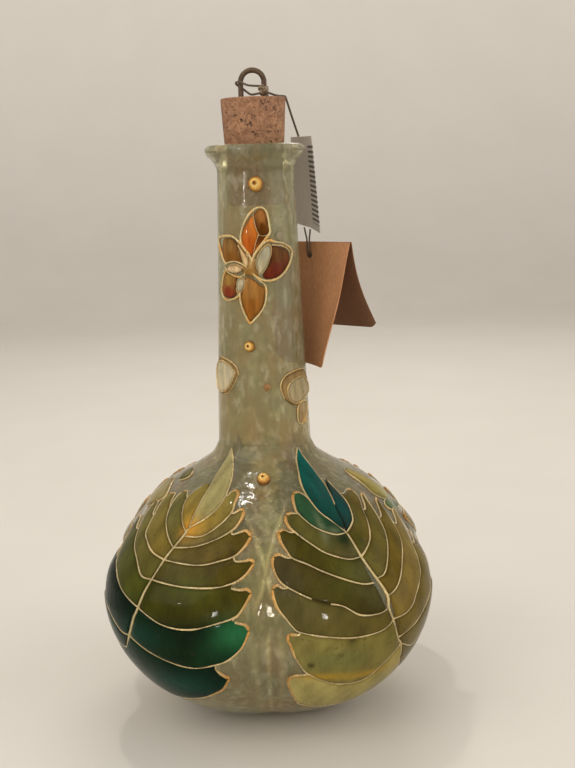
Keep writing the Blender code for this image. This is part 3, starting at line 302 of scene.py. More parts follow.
# Gold lines of the flower: share of the full width, and points in the same millimetres.
FLOWER_LINES = (
    (1.25,
     ((-0.1, 5), (-2.6, 7.5), (-3.9, 10.2), (-3.9, 13.2), (-3.2, 15.9), (-1.9, 18.9), (0, 21.7), (2.2, 23.7),
      (4.2, 24.5), (6.1, 24.2), (7.5, 22.7), (8.2, 20.2), (8.6, 16.9), (8.9, 14.5), (8.2, 12.9), (6.7, 11.5),
      (5.2, 9.7), (3.6, 7.7), (2.2, 5.7), (1, 3.2), (0.1, 0.2))),
    (0.5,
     ((1.8, 21.7), (2.2, 18.7), (2.6, 16.9), (3.2, 14.7), (3.8, 13.5), (3.2, 11.7), (2.4, 9.5), (1.9, 7.2),
      (1.2, 4.7))),
    (0.5, ((3.8, 13.5), (4.9, 12.7), (6.4, 12.7), (8, 12.9))),
    (1.1,
     ((0.1, 0.9), (1.2, 3.7), (2.7, 6.2), (4.7, 8.5), (6.7, 10.2), (8.9, 10.7), (11.2, 9.9), (13.8, 9.5),
      (16.8, 8.2), (19.3, 6.5), (19.9, 4.5), (18.6, 1.5), (16.6, -1.3), (14.4, -3.5), (11.6, -5.3),
      (8.7, -6.1), (6.1, -6.1), (3.8, -5.3), (2.1, -4.1), (0.8, -2.8))),
    (0.7, ((9.4, 8.7), (11.9, 8.5), (14.6, 8), (17.4, 6.5), (18.6, 5))),
    (0.6,
     ((2.9, -1.8), (2.3, 0.9), (3, 3.7), (5, 7), (7.5, 8.9), (9, 8), (8.9, 5.2), (8.1, 2.9), (6.8, -0.1),
      (4.8, -2.8), (3.5, -3.5), (2.9, -1.8))),
    (1.25,
     ((1.1, 1.7), (-0.2, 4.2), (-1.6, 6.5), (-3.4, 8.9), (-5.4, 10.9), (-7.8, 12.5), (-10.3, 12.9),
      (-13.5, 12.7), (-17.7, 11.9), (-18.3, 9.9), (-17.2, 7.2), (-15.6, 5), (-14.1, 2.7), (-12.3, 1.2))),
    (0.8, ((-5.5, 9.2), (-4.5, 7.2), (-3.9, 5), (-3.1, 2.2), (-1.9, -0.1), (-0.1, -1.5))),
    (1,
     ((-13.2, 0.7), (-10.6, 1.7), (-7.5, 2.2), (-4.9, 1.7), (-2.8, 0.5), (-0.7, -1.1), (1.3, -3.3),
      (3.1, -5.1), (5, -5.8))),
    (0.8,
     ((-12.8, -0.3), (-11.2, -2.3), (-8.6, -3.5), (-5.8, -4.3), (-3.4, -3.8), (-2.3, -2.3), (-0.7, -1.5))),
    (0.6, ((-11.2, -0.8), (-9, 0.7), (-6.2, 0.9), (-4.1, -0.1), (-2.2, -1.5))),
    (1,
     ((-12.6, -1.8), (-14.3, -4.5), (-15.5, -7.8), (-15.9, -10.5), (-14.4, -13.1), (-11.5, -14.3),
      (-8.3, -13.8), (-6.1, -12.8), (-4.7, -11.1))),
    (0.6,
     ((-6.5, -8.5), (-6.1, -6.3), (-4.8, -4.8), (-3.2, -5.1), (-2.4, -6.5), (-2.9, -8.8), (-4.3, -10.5),
      (-5.6, -11.3), (-6.5, -10.1), (-6.5, -8.5))),
    (1.05,
     ((-2.6, -5.4), (-4.6, -9.5), (-4.9, -13.2), (-4.3, -16.3), (-2.9, -20.1), (-0.9, -23.8), (1.1, -22.3),
      (3.5, -19.5), (5.4, -16.1), (6.1, -12.1), (6, -8.8), (5.1, -7.1), (3.1, -5.5))),
    (0.9, ((0.8, 3.2), (0.4, 1.5), (1, -0.5), (0.6, -2.3))),
    (0.8, ((-1.5, 5.7), (-1.2, 3.5), (-0.7, 0.9), (0.6, -1.5), (1.7, -3.5))),
    (0.8, ((2.1, 3.2), (1.1, 1.5), (-0.1, -0.1), (-2.1, -2.3), (-2.9, -4.3))),
)
# Buds under the flower: outlines as (degrees, millimetres up).
BUD_PANES = {
    "bud_left": (
        ("pane",
         ((-30, 154), (-35, 157), (-44.6, 158.8), (-61.2, 159.8), (-72, 158.8), (-84, 154.6), (-84, 148.6),
          (-72, 144.2), (-58.8, 143.8), (-49, 144.6), (-42.6, 146.4), (-36.8, 149.4)), (156, 132, 92),
         (150, 124, 82)),
        ("inset",
         ((-34.6, 153.9), (-37.4, 155), (-44.6, 156.9), (-59.6, 158.3), (-72, 157), (-81, 153), (-80, 148.5),
          (-72, 145.4), (-59, 144.8), (-50.8, 145.6), (-44, 148), (-37.6, 151.6)), (206, 190, 156),
         (196, 184, 152)),
    ),
    "bud_right": (
        ("pane",
         ((25.6, 144.5), (24.4, 147.2), (26.2, 149.6), (33, 151.8), (48, 153.1), (64.4, 153.1), (77, 150.6),
          (84, 147), (83, 142.8), (69, 141), (54.8, 138.9), (44.8, 138.4), (35, 140), (28.6, 142.2)),
         (158, 130, 86), (150, 122, 78)),
        ("inset",
         ((61.4, 150.5), (48.6, 150.2), (38.8, 149), (33.4, 147), (33.2, 144), (37.2, 140.8), (44.8, 139.2),
          (54.8, 139.9), (69.2, 141.8), (80, 143), (79, 146), (70.6, 148.4)), (172, 154, 118),
         (166, 150, 114)),
        ("petal",
         ((51.2, 138.6), (64.8, 139.4), (73, 137.6), (71.6, 135), (62.8, 131.5), (53.8, 129.8), (48.4, 131),
          (47.4, 134.5)), (164, 134, 92), (170, 146, 108)),
    ),
}
# A second line beside each bud's edge, and the amber curl at the right bud's foot
BUD_LINES = {
    "bud_left": (((-64, 159.9), (-54, 159.5), (-44.6, 158.8), (-34.8, 157), (-30.4, 154), (-32.4, 152),
                  (-36.8, 149.2), (-42.6, 146.2), (-49, 144.5), (-57, 143.8)),),
    "bud_right": (((29, 141.8), (25.6, 144.5), (24, 147.2), (25.8, 149.8), (33, 152.2), (48, 153.5),
                   (64.4, 153.5), (76, 151.4)),
                  ((49.4, 134), (54.8, 132), (60.2, 133), (57.2, 130.8), (52.2, 129.8))),
}
# The parts of the back leaves that show over the shoulder from the front, in the same degrees and millimetres
SHOULDER_PANES = {
    "leaf_right_back": (
        (((71.8, 101.8), (76, 106.6), (84, 106.4), (90, 102), (96, 94), (93, 91.4), (85.2, 91.8),
          (74.2, 95.5), (69.8, 98.6)), (150, 142, 50), (158, 140, 66)),
        (((70, 94.2), (78, 94), (96, 88.6), (103, 84), (90, 86.2), (79, 89), (69.6, 92.2)), (64, 88, 44),
         (86, 106, 56)),
    ),
    "leaf_left_back": (
        (((-95.4, 91.2), (-99, 95.4), (-98, 101), (-90, 103.6), (-76, 102.6), (-67, 100.8), (-69, 98),
          (-78, 94.2)), (142, 124, 60), (150, 134, 84)),
        (((-79.4, 105.2), (-86.8, 107), (-81.6, 109.2), (-70, 107.6), (-73.2, 105.6)), (92, 92, 50),
         (120, 112, 68)),
    ),
}
LEAVES = {
    "left": (LEFT_FRONT, LEFT_REAR, LEFT_SPINE, LEFT_END),
    "right": (RIGHT_FRONT, RIGHT_REAR, RIGHT_SPINE, RIGHT_END),
}
# Gold dots: degrees, height and radius. A profile runs from the foot over the rim to the dimple, in shares of
# the radius and metres up, and the tints follow it: the gold with painted shade at the foot and in the
# dimple, and a painted highlight on top.
DOTS = (("dot_upper", 1.0, 0.2335, 0.0032), ("dot_middle", -13.5, 0.1655, 0.0023),
        ("dot_lower", -0.5, 0.1100, 0.0029))
DOT_PROFILE = ((1.05, -0.0005), (1.04, 0.0005), (0.94, 0.0013), (0.74, 0.0020), (0.50, 0.0023),
               (0.33, 0.0023), (0.21, 0.0019), (0.10, 0.0015), (0.04, 0.0014))
DOT_TINTS = ((128, 84, 34), (186, 132, 54), (216, 164, 74), (242, 200, 110), (250, 214, 132), (206, 150, 68),
             (112, 68, 26))
# Small touches of glass and paint on the neck: degrees, height, radius and tint
TOUCHES = (
    ("clear_touch", 34.0, 0.2115, 0.0021, (150, 140, 112)),
    ("amber_touch", 6.7, 0.1477, 0.0017, (160, 120, 78)),
    ("drop_touch", 60.0, 0.1310, 0.0015, (196, 158, 96)),
)
TOUCH_PROFILE = ((1.0, -0.0004), (0.96, 0.0004), (0.7, 0.0009), (0.35, 0.0012), (0.1, 0.0013))

# Camera: the photograph's distance, height, turn round the bottle, pitch and roll
CAMERA_DISTANCE = 0.504744
CAMERA_HEIGHT = 0.238845
CAMERA_SIDE = math.radians(1.54)
CAMERA_PAN = math.radians(0.30)
CAMERA_PITCH = math.radians(79.494)
CAMERA_ROLL = math.radians(-1.8)
CAMERA_LENS = 36.0625
CAMERA_SENSOR = 24.0
LAMP_WARMTH = (1.0, 0.965, 0.92)

PALE_LINE = (206, 188, 138)
AMBER_LINE = (206, 150, 66)
# Under its gloss the paint is a little darker than it is seen
GLOSS_SEEN = 0.008
# Painted shade: how much a gold line darkens at its foot on the glass, and a pane along its rim beside the
# raised lines, where its paint also pools thickest
LINE_FOOT_SHADE = (0.42, 0.29, 0.16)
PANE_RIM_POOL_AND_SHADE = (0.42, 0.34, 0.26)
# Painted shade in the glass's colour by height, for how deep it looks where its walls or the cork lie behind
# it, darker round the belly and in a band under the lip: height, shares of red, green and blue
GLASS_DEPTH_SHADE = ((0.0, 1.04, 1.02, 0.96), (0.045, 0.98, 0.94, 0.86), (0.06, 0.78, 0.78, 0.66),
              (0.082, 0.78, 0.78, 0.68), (0.098, 0.91, 0.87, 0.82), (0.125, 0.97, 0.93, 0.86),
              (0.14, 0.98, 0.98, 0.98), (0.2375, 1.02, 1.0, 1.02), (0.2395, 0.74, 0.7, 0.64),
              (0.2415, 1.0, 1.0, 1.0))
# Pale bands beside each crease: millimetres up, degrees from the crease, strength
CREASE_BANDS = ((104.0, 12.5, 0.0), (100.0, 9.5, 0.8), (95.6, 6.0, 1.0), (92.0, 3.8, 1.0), (88.2, 2.3, 1.0),
                (84.8, 1.1, 1.0), (79.2, 0.0, 0.9), (75.8, 0.8, 0.9), (72.8, 1.5, 0.8), (69.9, 2.4, 0.7),
                (66.8, 3.8, 0.5), (62.0, 5.5, 0.0))

# Metres to a radian round the belly, the shoulder and the neck, and millimetres to a radian for the touches
BELLY_SCALE = 0.062
SHOULDER_SCALE = 0.055
NECK_SCALE = 0.0172
TOUCH_SCALE = 55.5

# The unevenness of blown glass: its depth, and where it comes in over the base and fades under the mouth
UNEVEN_DEPTH = 0.00013
UNEVEN_FOOT = 0.02
UNEVEN_TOP = 0.236
UNEVEN_FADE = 0.03

# The bands beside a crease: how far they stand out, how much paler they are and how much darker the glass
# between them is, their width, the soft edge between them, and the height where they have met
BAND_RISE = 0.0018
BAND_PALER = 1.05
BETWEEN_DARKER = 0.36
BAND_WIDTH = 0.0008
BETWEEN_EDGE = 0.0011
BANDS_MEET = 0.081
# The bands near the foot: degrees from the crease, strength and width, and the heights that they lie between
FOOT_BANDS = ((0.0, 0.7, 0.0010), (5.0, 0.4, 0.0012))
FOOT_BAND_TOP = 0.056
FOOT_BAND_FADE = 0.006
FOOT_BAND_START = 0.01

# The bottle's rows of points from the base up and down again, its sides to half a lobe, and how much closer
# these come towards a crease and those towards the base, as powers
OUTSIDE_ROWS = (46, 56, 60, 10)
INSIDE_ROWS = (36, 40, 36)
HALF_LOBE_SIDES = 36
CREASE_CLOSER = 1.3
BASE_CLOSER = 1.5
# Steps along drawn lines, and numbers of points round and across
DRAWN_STEP = 0.0007
PIPED_STEP = 0.0008
FREE_STEP = 0.0006
TWINE_STEP = 0.00025
LINE_SIDES = 12
OUTLINE_POINTS = 64
PATCH_ROWS = 16
PATCH_COLUMNS = 44
DISK_RINGS = 12
BEAD_SIDES = 40
BEAD_RINGS = 22
TURN_STEP = 0.012
RISE_STEP = 0.0006
SAME_POINT = 2e-6

# A pane of paint in a leaf: how high it stands, what its middle adds, how far in it has risen, how wide its
# dark rim is and how uneven its tone is. The edge of any pane is sunk in the glass.
PATCH_LIFT = 0.0003
PATCH_CROWN = 0.0005
PATCH_SHOULDER = 0.0009
PATCH_RIM_WIDTH = 0.0013
PATCH_TONE = 0.22
PANE_SUNK = 0.0006
SHOULDER_LIFT = 0.0005
SHOULDER_CROWN = 0.0005
NECK_CROWN = 0.0004
DISK_RIM_WIDTH = 0.0011
DISK_TONE = 0.2
# Panes on the neck: how high each kind stands, its outline's share of the line width, and what that adds
PANE_KINDS = {
    "pane": (0.00035, 0.0, 0.0),
    "glaze": (0.00060, 0.0, 0.0),
    "petal": (0.00035, 0.85, 0.0),
    "inset": (0.00060, 0.65, 0.0005),
}
# How late the outer colour comes in along a leaflet, as a power of the way to its tip
COLOUR_TURN = 0.7
TOP_COLOUR_TURN = 0.4
GREEN_TIP_TURN = 4.0
GREEN_TIP_LEAFLET = 5
# The even wash on the back leaves, and how much of it covers the panes' own colours
BACK_WASH = {"left": (148, 134, 86), "right": (128, 112, 64)}
BACK_WASH_SHARE = 0.75

# Piped lines: how much the width wavers, what a tip adds to it, how high a line stands, and the same two
LINE_WAVER = 0.14
TIP_SWELL = 1.05
LINE_RISE = 0.00058
LINE_RISE_WAVER = 0.00005
TIP_RISE = 0.00030
# Lines on the neck: how high they stand, what their width adds, and how much paler than the leaves' they are
NECK_LINE_RISE = 0.0004
NECK_LINE_SWELL = 0.0003
NECK_LINE_PALER = 1.3
BUD_LINE_SHARE = 0.6
# Leaflets before and behind the spine: how much of the line is its tip, and the width and tip of its ledge
FRONT_PIPING = (0.28, 1.2, 0.75)
REAR_PIPING = (0.06, 0.9, 0.4)
# The one broken line, as shares of its length, and where the line between a leaf's two end lobes starts
BROKEN_LEAFLET = 3
LINE_BREAK = (0.44, 0.56)
BETWEEN_STARTS = 0.2
# How far a dot's dimple lies off its middle, as shares of its radius
DIMPLE_UP = 0.16
DIMPLE_ACROSS = 0.20

# Finishes that a user would leave alone; fibres are an amount, a scale and a depth
PLAIN = (1.0, 1.0, 1.0)
GREY = (0.5, 0.5, 0.5)
MID_GREY = (0.5, 0.5, 0.5, 1.0)
DARK_GREY = (0.2, 0.2, 0.2, 1.0)
TWINE_FIBRES = (0.7, 1.6, 0.00006)
CARD_FIBRES = (0.7, 0.7, 0.00006)
SPECK_COLOUR = (0.03, 0.025, 0.015, 1.0)
GOLD_STREAK = (0.55, 0.42, 0.28)
CRACK_WANDER = (0.005, 0.005, 0.005)

# Lamps: name, place, size, whose power it takes a share of, the share, its spread and the height of its aim
LAMPS = (
    ("key", (-0.75, -0.75, 0.95), 1.3, "key_light", 1.0, 180.0, 0.12),
    ("fill", (0.9, -0.35, 0.5), 1.0, "key_light", 0.5, 180.0, 0.12),
    ("back", (0.1, 0.9, 0.9), 0.6, "key_light", 0.5, 180.0, 0.12),
    ("glint_above", (-0.14, 0.16, 0.95), 0.03, "glint_light", 1.0, 180.0, 0.12),
    ("glint_beside", (-0.35, -0.52, 0.26), 0.02, "glint_light", 0.2, 180.0, 0.12),
    ("glint_low", (0.02, -0.62, 0.04), 0.05, "glint_light", 0.0040, 12.0, BELLY_HEIGHT),
)
FLOOR_HALF_WIDTH = 2.2
FLOOR_ROWS = (-1.4, 0.9, 1.3)
SWEEP_RADIUS = 0.6
BACKDROP_TOP = 2.6


def paint(red, green, blue):
    """A display colour of 0 to 255 as linear light."""
    shares = (red / 255, green / 255, blue / 255)
    return tuple(v / 12.92 if v <= 0.04045 else ((v + 0.055) / 1.055) ** 2.4 for v in shares)


def pigment(colour):
    """The paint's own colour, in linear light, for the colour that is seen with its gloss."""
    seen = np.array(paint(*colour))
    return np.maximum(seen - GLOSS_SEEN, 0.25 * seen)


def random_numbers(seed):
    return np.random.default_rng(seed)


# The bottle's surface


def smooth_table(points, x):
    """A monotone curve through (x, y) points, by cubic pieces with limited slopes."""
    xs, ys = np.array(points, float).T
    chords = np.diff(ys) / np.diff(xs)
    product, total = chords[:-1] * chords[1:], chords[:-1] + chords[1:]
    inner = np.where(product > 0, 2 * product / np.where(total == 0, 1, total), 0)
    slopes = np.concatenate([chords[:1], inner, chords[-1:]])
    x = np.clip(x, xs[0], xs[-1])
    i = np.clip(np.searchsorted(xs, x, side="right") - 1, 0, len(xs) - 2)
    span = xs[i + 1] - xs[i]
    t = (x - xs[i]) / span
    rise = (2 * t**3 - 3 * t**2 + 1) * ys[i] + (3 * t**2 - 2 * t**3) * ys[i + 1]
    return rise + (t**3 - 2 * t**2 + t) * span * slopes[i] + (t**3 - t**2) * span * slopes[i + 1]


def bottle_tables(heights):
    """Half width, lobe spread and web share at each height."""
    below = heights <= BELLY_HEIGHT
    low = np.clip(heights / BELLY_HEIGHT, 0, 1)
    high = np.clip((heights - BELLY_HEIGHT) / (NECK_FOOT_HEIGHT - BELLY_HEIGHT), 0, 1)
    belly = BASE_RADIUS + (BELLY_HALF_WIDTH - BASE_RADIUS) * (1 - (1 - low) ** 1.9) ** (1 / 1.6)
    shoulder = NECK_FOOT_RADIUS + (BELLY_HALF_WIDTH - NECK_FOOT_RADIUS) * smooth_table(SHOULDER_SHAPE, high)
    along = (heights - NECK_FOOT_HEIGHT) / (NECK_TOP_HEIGHT - NECK_FOOT_HEIGHT)
    neck = NECK_FOOT_RADIUS + (NECK_TOP_RADIUS - NECK_FOOT_RADIUS) * along
    flare = np.clip((heights - NECK_TOP_HEIGHT) / (LIP_FOOT_HEIGHT - NECK_TOP_HEIGHT), 0, 1)
    lip = NECK_TOP_RADIUS + (LIP_RADIUS - 0.34 * LIP_ROLL_RADIUS - NECK_TOP_RADIUS) * flare**2
    parts = [below, heights < NECK_FOOT_HEIGHT, heights <= NECK_TOP_HEIGHT]
    widths = np.select(parts, [belly, shoulder, neck], lip)
    fade = np.where(below, smooth_table(LOBE_FADE_BELOW, low), smooth_table(LOBE_FADE_ABOVE, high))
    spreads = LOBE_SPREAD_SHARE * fade
    webs = np.where(below, smooth_table(WEB_BELOW, low), smooth_table(WEB_ABOVE, high))
    return widths, spreads, webs


HEIGHTS = np.linspace(0.0, GLASS_HEIGHT, 2501)
WIDTHS, SPREADS, WEBS = bottle_tables(HEIGHTS)


def full_turn(count):
    """Even angles all the way round."""
    return np.linspace(0, math.tau, count, endpoint=False)


def smooth_max(a, b, softness):
    mix = np.clip(0.5 + 0.5 * (a - b) / softness, 0.0, 1.0)
    return b * (1 - mix) + a * mix + softness * mix * (1 - mix)


def blown_unevenness(angle, z):
    """The small unevenness of blown glass, nothing at the base and at the mouth."""
    fade = np.clip(z / UNEVEN_FOOT, 0, 1) * np.clip((UNEVEN_TOP - z) / UNEVEN_FADE, 0, 1)
    waves = 0.6 * np.sin(3 * angle + 41 * z + 0.7) + 0.5 * np.sin(2 * angle - 73 * z + 2.1)
    waves = waves + 0.35 * np.sin(7 * angle + 118 * z) * np.sin(5 * angle - 96 * z + 1.3)
    return UNEVEN_DEPTH * fade * waves


def bottle_radius(angle, z, inset=0.0):
    width = np.interp(z, HEIGHTS, WIDTHS) - inset
    spread = np.interp(z, HEIGHTS, SPREADS)
    web = np.interp(z, HEIGHTS, WEBS)
    lobe_radius = width / (1 + spread * math.sin(math.pi / LOBES))
    offset = spread * lobe_radius
    pitch = math.tau / LOBES
    turn = np.mod(angle, pitch) - pitch / 2

    def lobe(a):
        return offset * np.cos(a) + np.sqrt(np.maximum(lobe_radius**2 - (offset * np.sin(a)) ** 2, 0.0))

    pair = smooth_max(lobe(turn), lobe(pitch - np.abs(turn)), CREASE_SOFTNESS)
    return smooth_max(pair, web * width, CREASE_SOFTNESS) + blown_unevenness(angle, z)


def round_point(angle, radius, z):
    return np.stack(np.broadcast_arrays(radius * np.sin(angle), -radius * np.cos(angle), z), axis=-1)


def glass_point(angle, z):
    return round_point(angle, bottle_radius(angle, z), z)


def glass_normal(angle, z):
    around = glass_point(angle + TURN_STEP, z) - glass_point(angle - TURN_STEP, z)
    up = glass_point(angle, z + RISE_STEP) - glass_point(angle, z - RISE_STEP)
    return unit(np.cross(around, up))


def on_glass(angle, z, lift):
    """Points lift above the bottle's outer surface."""
    angle, z = np.broadcast_arrays(np.asarray(angle, float), np.asarray(z, float))
    return glass_point(angle, z) + np.asarray(lift)[..., None] * glass_normal(angle, z)


def cork_radius(z):
    """The cork's radius at a height, which the seat in the mouth follows."""
    return CORK_TOP_RADIUS - (CORK_TOP_RADIUS - CORK_BOTTOM_RADIUS) / CORK_LENGTH * (CORK_TOP - z)


def unit(vectors):
    return vectors / np.maximum(np.linalg.norm(vectors, axis=-1, keepdims=True), 1e-12)


# Meshes


def placed_in_scene(name, data):
    made = bpy.data.objects.new(name, data)
    bpy.context.scene.collection.objects.link(made)
    return made


class Skin:
    """Collects points, faces and point colours, and makes one object of them."""

    def __init__(self):
        self.points, self.colours, self.faces, self.count = [], [], [], 0

    def grid(self, points, colour, ring=False, closed=False):
        """A sheet of quads. ring joins its last column to its first, closed its last row to its first."""
        rows, columns = points.shape[:2]
        number = np.arange(rows * columns).reshape(rows, columns) + self.count
        if ring:
            number = np.concatenate([number, number[:, :1]], axis=1)
        if closed:
            number = np.concatenate([number, number[:1]], axis=0)
        quads = np.stack([number[:-1, :-1], number[:-1, 1:], number[1:, 1:], number[1:, :-1]], axis=-1)
        colours = np.broadcast_to(colour, (rows, columns, 3)).reshape(-1, 3)
        self.add(points.reshape(-1, 3), colours, quads.reshape(-1, 4))
        return number

    def fan(self, row, middle, colour):
        """Closes a ring of point numbers with triangles to a middle point."""
        hub = self.count
        self.add(np.array([middle]), np.array([colour]), [])
        self.faces += [(int(a), int(b), hub) for a, b in zip(row, np.roll(row, -1))]

    def add(self, points, colours, faces):
        self.points.append(points)
        self.colours.append(colours)
        self.faces += [tuple(int(n) for n in face) for face in faces]
        self.count += len(points)

    def made(self, name, finish, body, slot, sharp=40.0):
        """The object, smooth but for edges sharper than the angle, on its body. slot is not used."""
        mesh = bpy.data.meshes.new(name)
        mesh.from_pydata(np.concatenate(self.points).tolist(), [], self.faces)
        colours = np.concatenate(self.colours)
        data = mesh.color_attributes.new("paint", "FLOAT_COLOR", "POINT")
        data.data.foreach_set("color", np.concatenate([colours, np.ones((len(colours), 1))], axis=1).ravel())
        tidy = bmesh.new()
        tidy.from_mesh(mesh)
        bmesh.ops.remove_doubles(tidy, verts=tidy.verts, dist=SAME_POINT)
        bmesh.ops.recalc_face_normals(tidy, faces=tidy.faces)
        tidy.to_mesh(mesh)
        tidy.free()
        mesh.shade_smooth()
        mesh.set_sharp_from_angle(angle=math.radians(sharp))
        mesh.materials.append(finish)
        piece = placed_in_scene(name, mesh)
        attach(piece, body)
        return piece


def smooth_line(points, spacing=None, count=None, closed=False):
    """Even points of a smooth curve through the given ones, in any number of dimensions."""
    points = np.array(points, float)
    if closed:
        padded = np.concatenate([points[-1:], points, points[:2]])
    else:
        padded = np.concatenate([2 * points[:1] - points[1:2], points, 2 * points[-1:] - points[-2:-1]])
    t = np.linspace(0, 1, 16, endpoint=False)[:, None]
    dense = []
    for a, b, c, d in zip(padded, padded[1:], padded[2:], padded[3:]):
        curve = 2 * b + (c - a) * t + (2 * a - 5 * b + 4 * c - d) * t**2 + (3 * b - 3 * c + d - a) * t**3
        dense.append(0.5 * curve)
    dense = np.concatenate(dense + [points[:1] if closed else points[-1:]])
    return evened(dense, spacing, count)


def run_lengths(line):
    """How far along the line each of its points lies."""
    return np.concatenate([[0.0], np.cumsum(np.linalg.norm(np.diff(line, axis=0), axis=1))])


def evened(line, spacing=None, count=None):
    """The same line read at even distances."""
    lengths = run_lengths(line)
    if count is None:
        count = max(3, int(round(lengths[-1] / spacing)) + 1)
    wanted = np.linspace(0, lengths[-1], count)
    return np.stack([np.interp(wanted, lengths, line[:, i]) for i in range(line.shape[1])], axis=1)


def tube_rings(line, radii, sides):
    """Rings of points round a line, without turning about it. radii may vary with the ring and the side."""
    line = np.asarray(line, float)
    ways = unit(np.gradient(line, axis=0))
    side = unit(np.cross(ways[0], (0.3, 0.2, 1.0) if abs(ways[0][2]) < 0.9 else (1.0, 0.2, 0.1)))
    frames = []
    for way in ways:
        side = unit(side - way * np.dot(side, way))
        frames.append((side, np.cross(way, side)))
    sides_at, ups_at = np.array(frames).transpose(1, 0, 2)
    angles = full_turn(sides)
    reach = np.broadcast_to(radii, (len(line), sides)) if np.ndim(radii) != 1 else np.asarray(radii)[:, None]
    around = np.cos(angles)[:, None] * sides_at[:, None] + np.sin(angles)[:, None] * ups_at[:, None]
    return line[:, None] + around * np.broadcast_to(reach, (len(line), sides))[..., None]


def tube_skin(skin, line, radii, sides, colour):
    """A closed tube along a line."""
    rings = tube_rings(line, radii, sides)
    numbers = skin.grid(rings, colour, ring=True)
    skin.fan(numbers[0][:-1], line[0], colour)
    skin.fan(numbers[-1][:-1], line[-1], colour)


def twine_skin(line, radius, pitch=0.0026):
    """Twine of three plies: its section has one round side for each ply and turns once in a pitch."""
    line = np.asarray(line, float)
    angles = full_turn(TWINE_SIDES)
    turned = angles[None, :] - math.tau * run_lengths(line)[:, None] / pitch
    ply = np.abs(np.cos(PLIES / 2 * turned))
    skin = Skin()
    tube_skin(skin, line, radius * (1 - PLY_GROOVE + PLY_GROOVE * ply), TWINE_SIDES, PLAIN)
    return skin


# Materials


def new_material(name):
    made = bpy.data.materials.new(name)
    made.use_nodes = True
    return made, made.node_tree, made.node_tree.nodes["Principled BSDF"]


def node(tree, kind, **values):
    """A shader node; a value's name with underscores is the input's name, and a plain one is a setting."""
    made = tree.nodes.new(kind)
    for key, value in values.items():
        if hasattr(made, key):
            setattr(made, key, value)
        else:
            made.inputs[key.replace("_", " ")].default_value = value
    return made


def link(tree, *pairs):
    for source, target in pairs:
        tree.links.new(source, target)


def feed(tree, socket, value):
    """Links a socket to another, or sets it to a plain value."""
    if isinstance(value, bpy.types.NodeSocket):
        tree.links.new(value, socket)
    elif value is not None:
        socket.default_value = value


def group(name, inputs, outputs):
    """A node group with inputs by their default, a number or a colour, and outputs by their kind."""
    tree = bpy.data.node_groups.new(name, "ShaderNodeTree")
    for label, default in inputs.items():
        kind = "NodeSocketFloat" if isinstance(default, float) else "NodeSocketColor"
        tree.interface.new_socket(label, in_out="INPUT", socket_type=kind).default_value = default
    for label, kind in outputs.items():
        tree.interface.new_socket(label, in_out="OUTPUT", socket_type=f"NodeSocket{kind}")
    return tree, tree.nodes.new("NodeGroupInput"), tree.nodes.new("NodeGroupOutput")


def mixed(tree, factor, first, second, blend="MIX"):
    """A colour mix node's result socket."""
    made = tree.nodes.new("ShaderNodeMix")
    made.data_type = "RGBA"
    made.blend_type = blend
    for socket, value in ((made.inputs[0], factor), (made.inputs[6], first), (made.inputs[7], second)):
        feed(tree, socket, value)
    return made.outputs[2]


def maths(tree, operation, first, second=0.5, third=None):
    """A maths node's result socket."""
    made = tree.nodes.new("ShaderNodeMath")
    made.operation = operation
    for socket, value in zip(made.inputs, (first, second, third)):
        feed(tree, socket, value)
    return made.outputs[0]


def ramp(tree, source, *stops):
    """A grey ramp of (place, value) stops."""
    made = tree.nodes.new("ShaderNodeValToRGB")
    band = made.color_ramp
    band.elements[0].position, band.elements[-1].position = stops[0][0], stops[-1][0]
    for place, _ in stops[1:-1]:
        band.elements.new(place)
    for element, (_, value) in zip(band.elements, stops):
        element.color = (value, value, value, 1.0)
    tree.links.new(source, made.inputs[0])
    return made.outputs[0]


def place_on(tree):
    """The socket with each point's place in the piece's own metres."""
    return node(tree, "ShaderNodeTexCoord").outputs["Object"]


def paint_on(tree):
    """The socket with the colour that is painted on the mesh."""
    return node(tree, "ShaderNodeVertexColor", layer_name="paint").outputs["Color"]


def stretched(tree, place, scale, turn=(0.0, 0.0, 0.0)):
    """The place turned and scaled by axis, so that what is drawn there is stretched."""
    made = node(tree, "ShaderNodeMapping")
    made.inputs["Rotation"].default_value = turn
    made.inputs["Scale"].default_value = scale
    link(tree, (place, made.inputs["Vector"]))
    return made.outputs[0]


def noise(tree, place, scale, detail, roughness):
    """A noise texture's result sockets."""
    made = node(tree, "ShaderNodeTexNoise", Scale=scale, Detail=detail, Roughness=roughness)
    link(tree, (place, made.inputs["Vector"]))
    return made.outputs


def cells(tree, place, scale, **values):
    """A cell texture's distance socket."""
    made = node(tree, "ShaderNodeTexVoronoi", Scale=scale, Randomness=1.0, **values)
    link(tree, (place, made.inputs["Vector"]))
    return made.outputs["Distance"]


def sized_place(tree, given):
    """The place on the piece times a group's Scale input."""
    sized = node(tree, "ShaderNodeVectorMath", operation="SCALE")
    link(tree, (place_on(tree), sized.inputs[0]), (given.outputs["Scale"], sized.inputs["Scale"]))
    return sized.outputs[0]


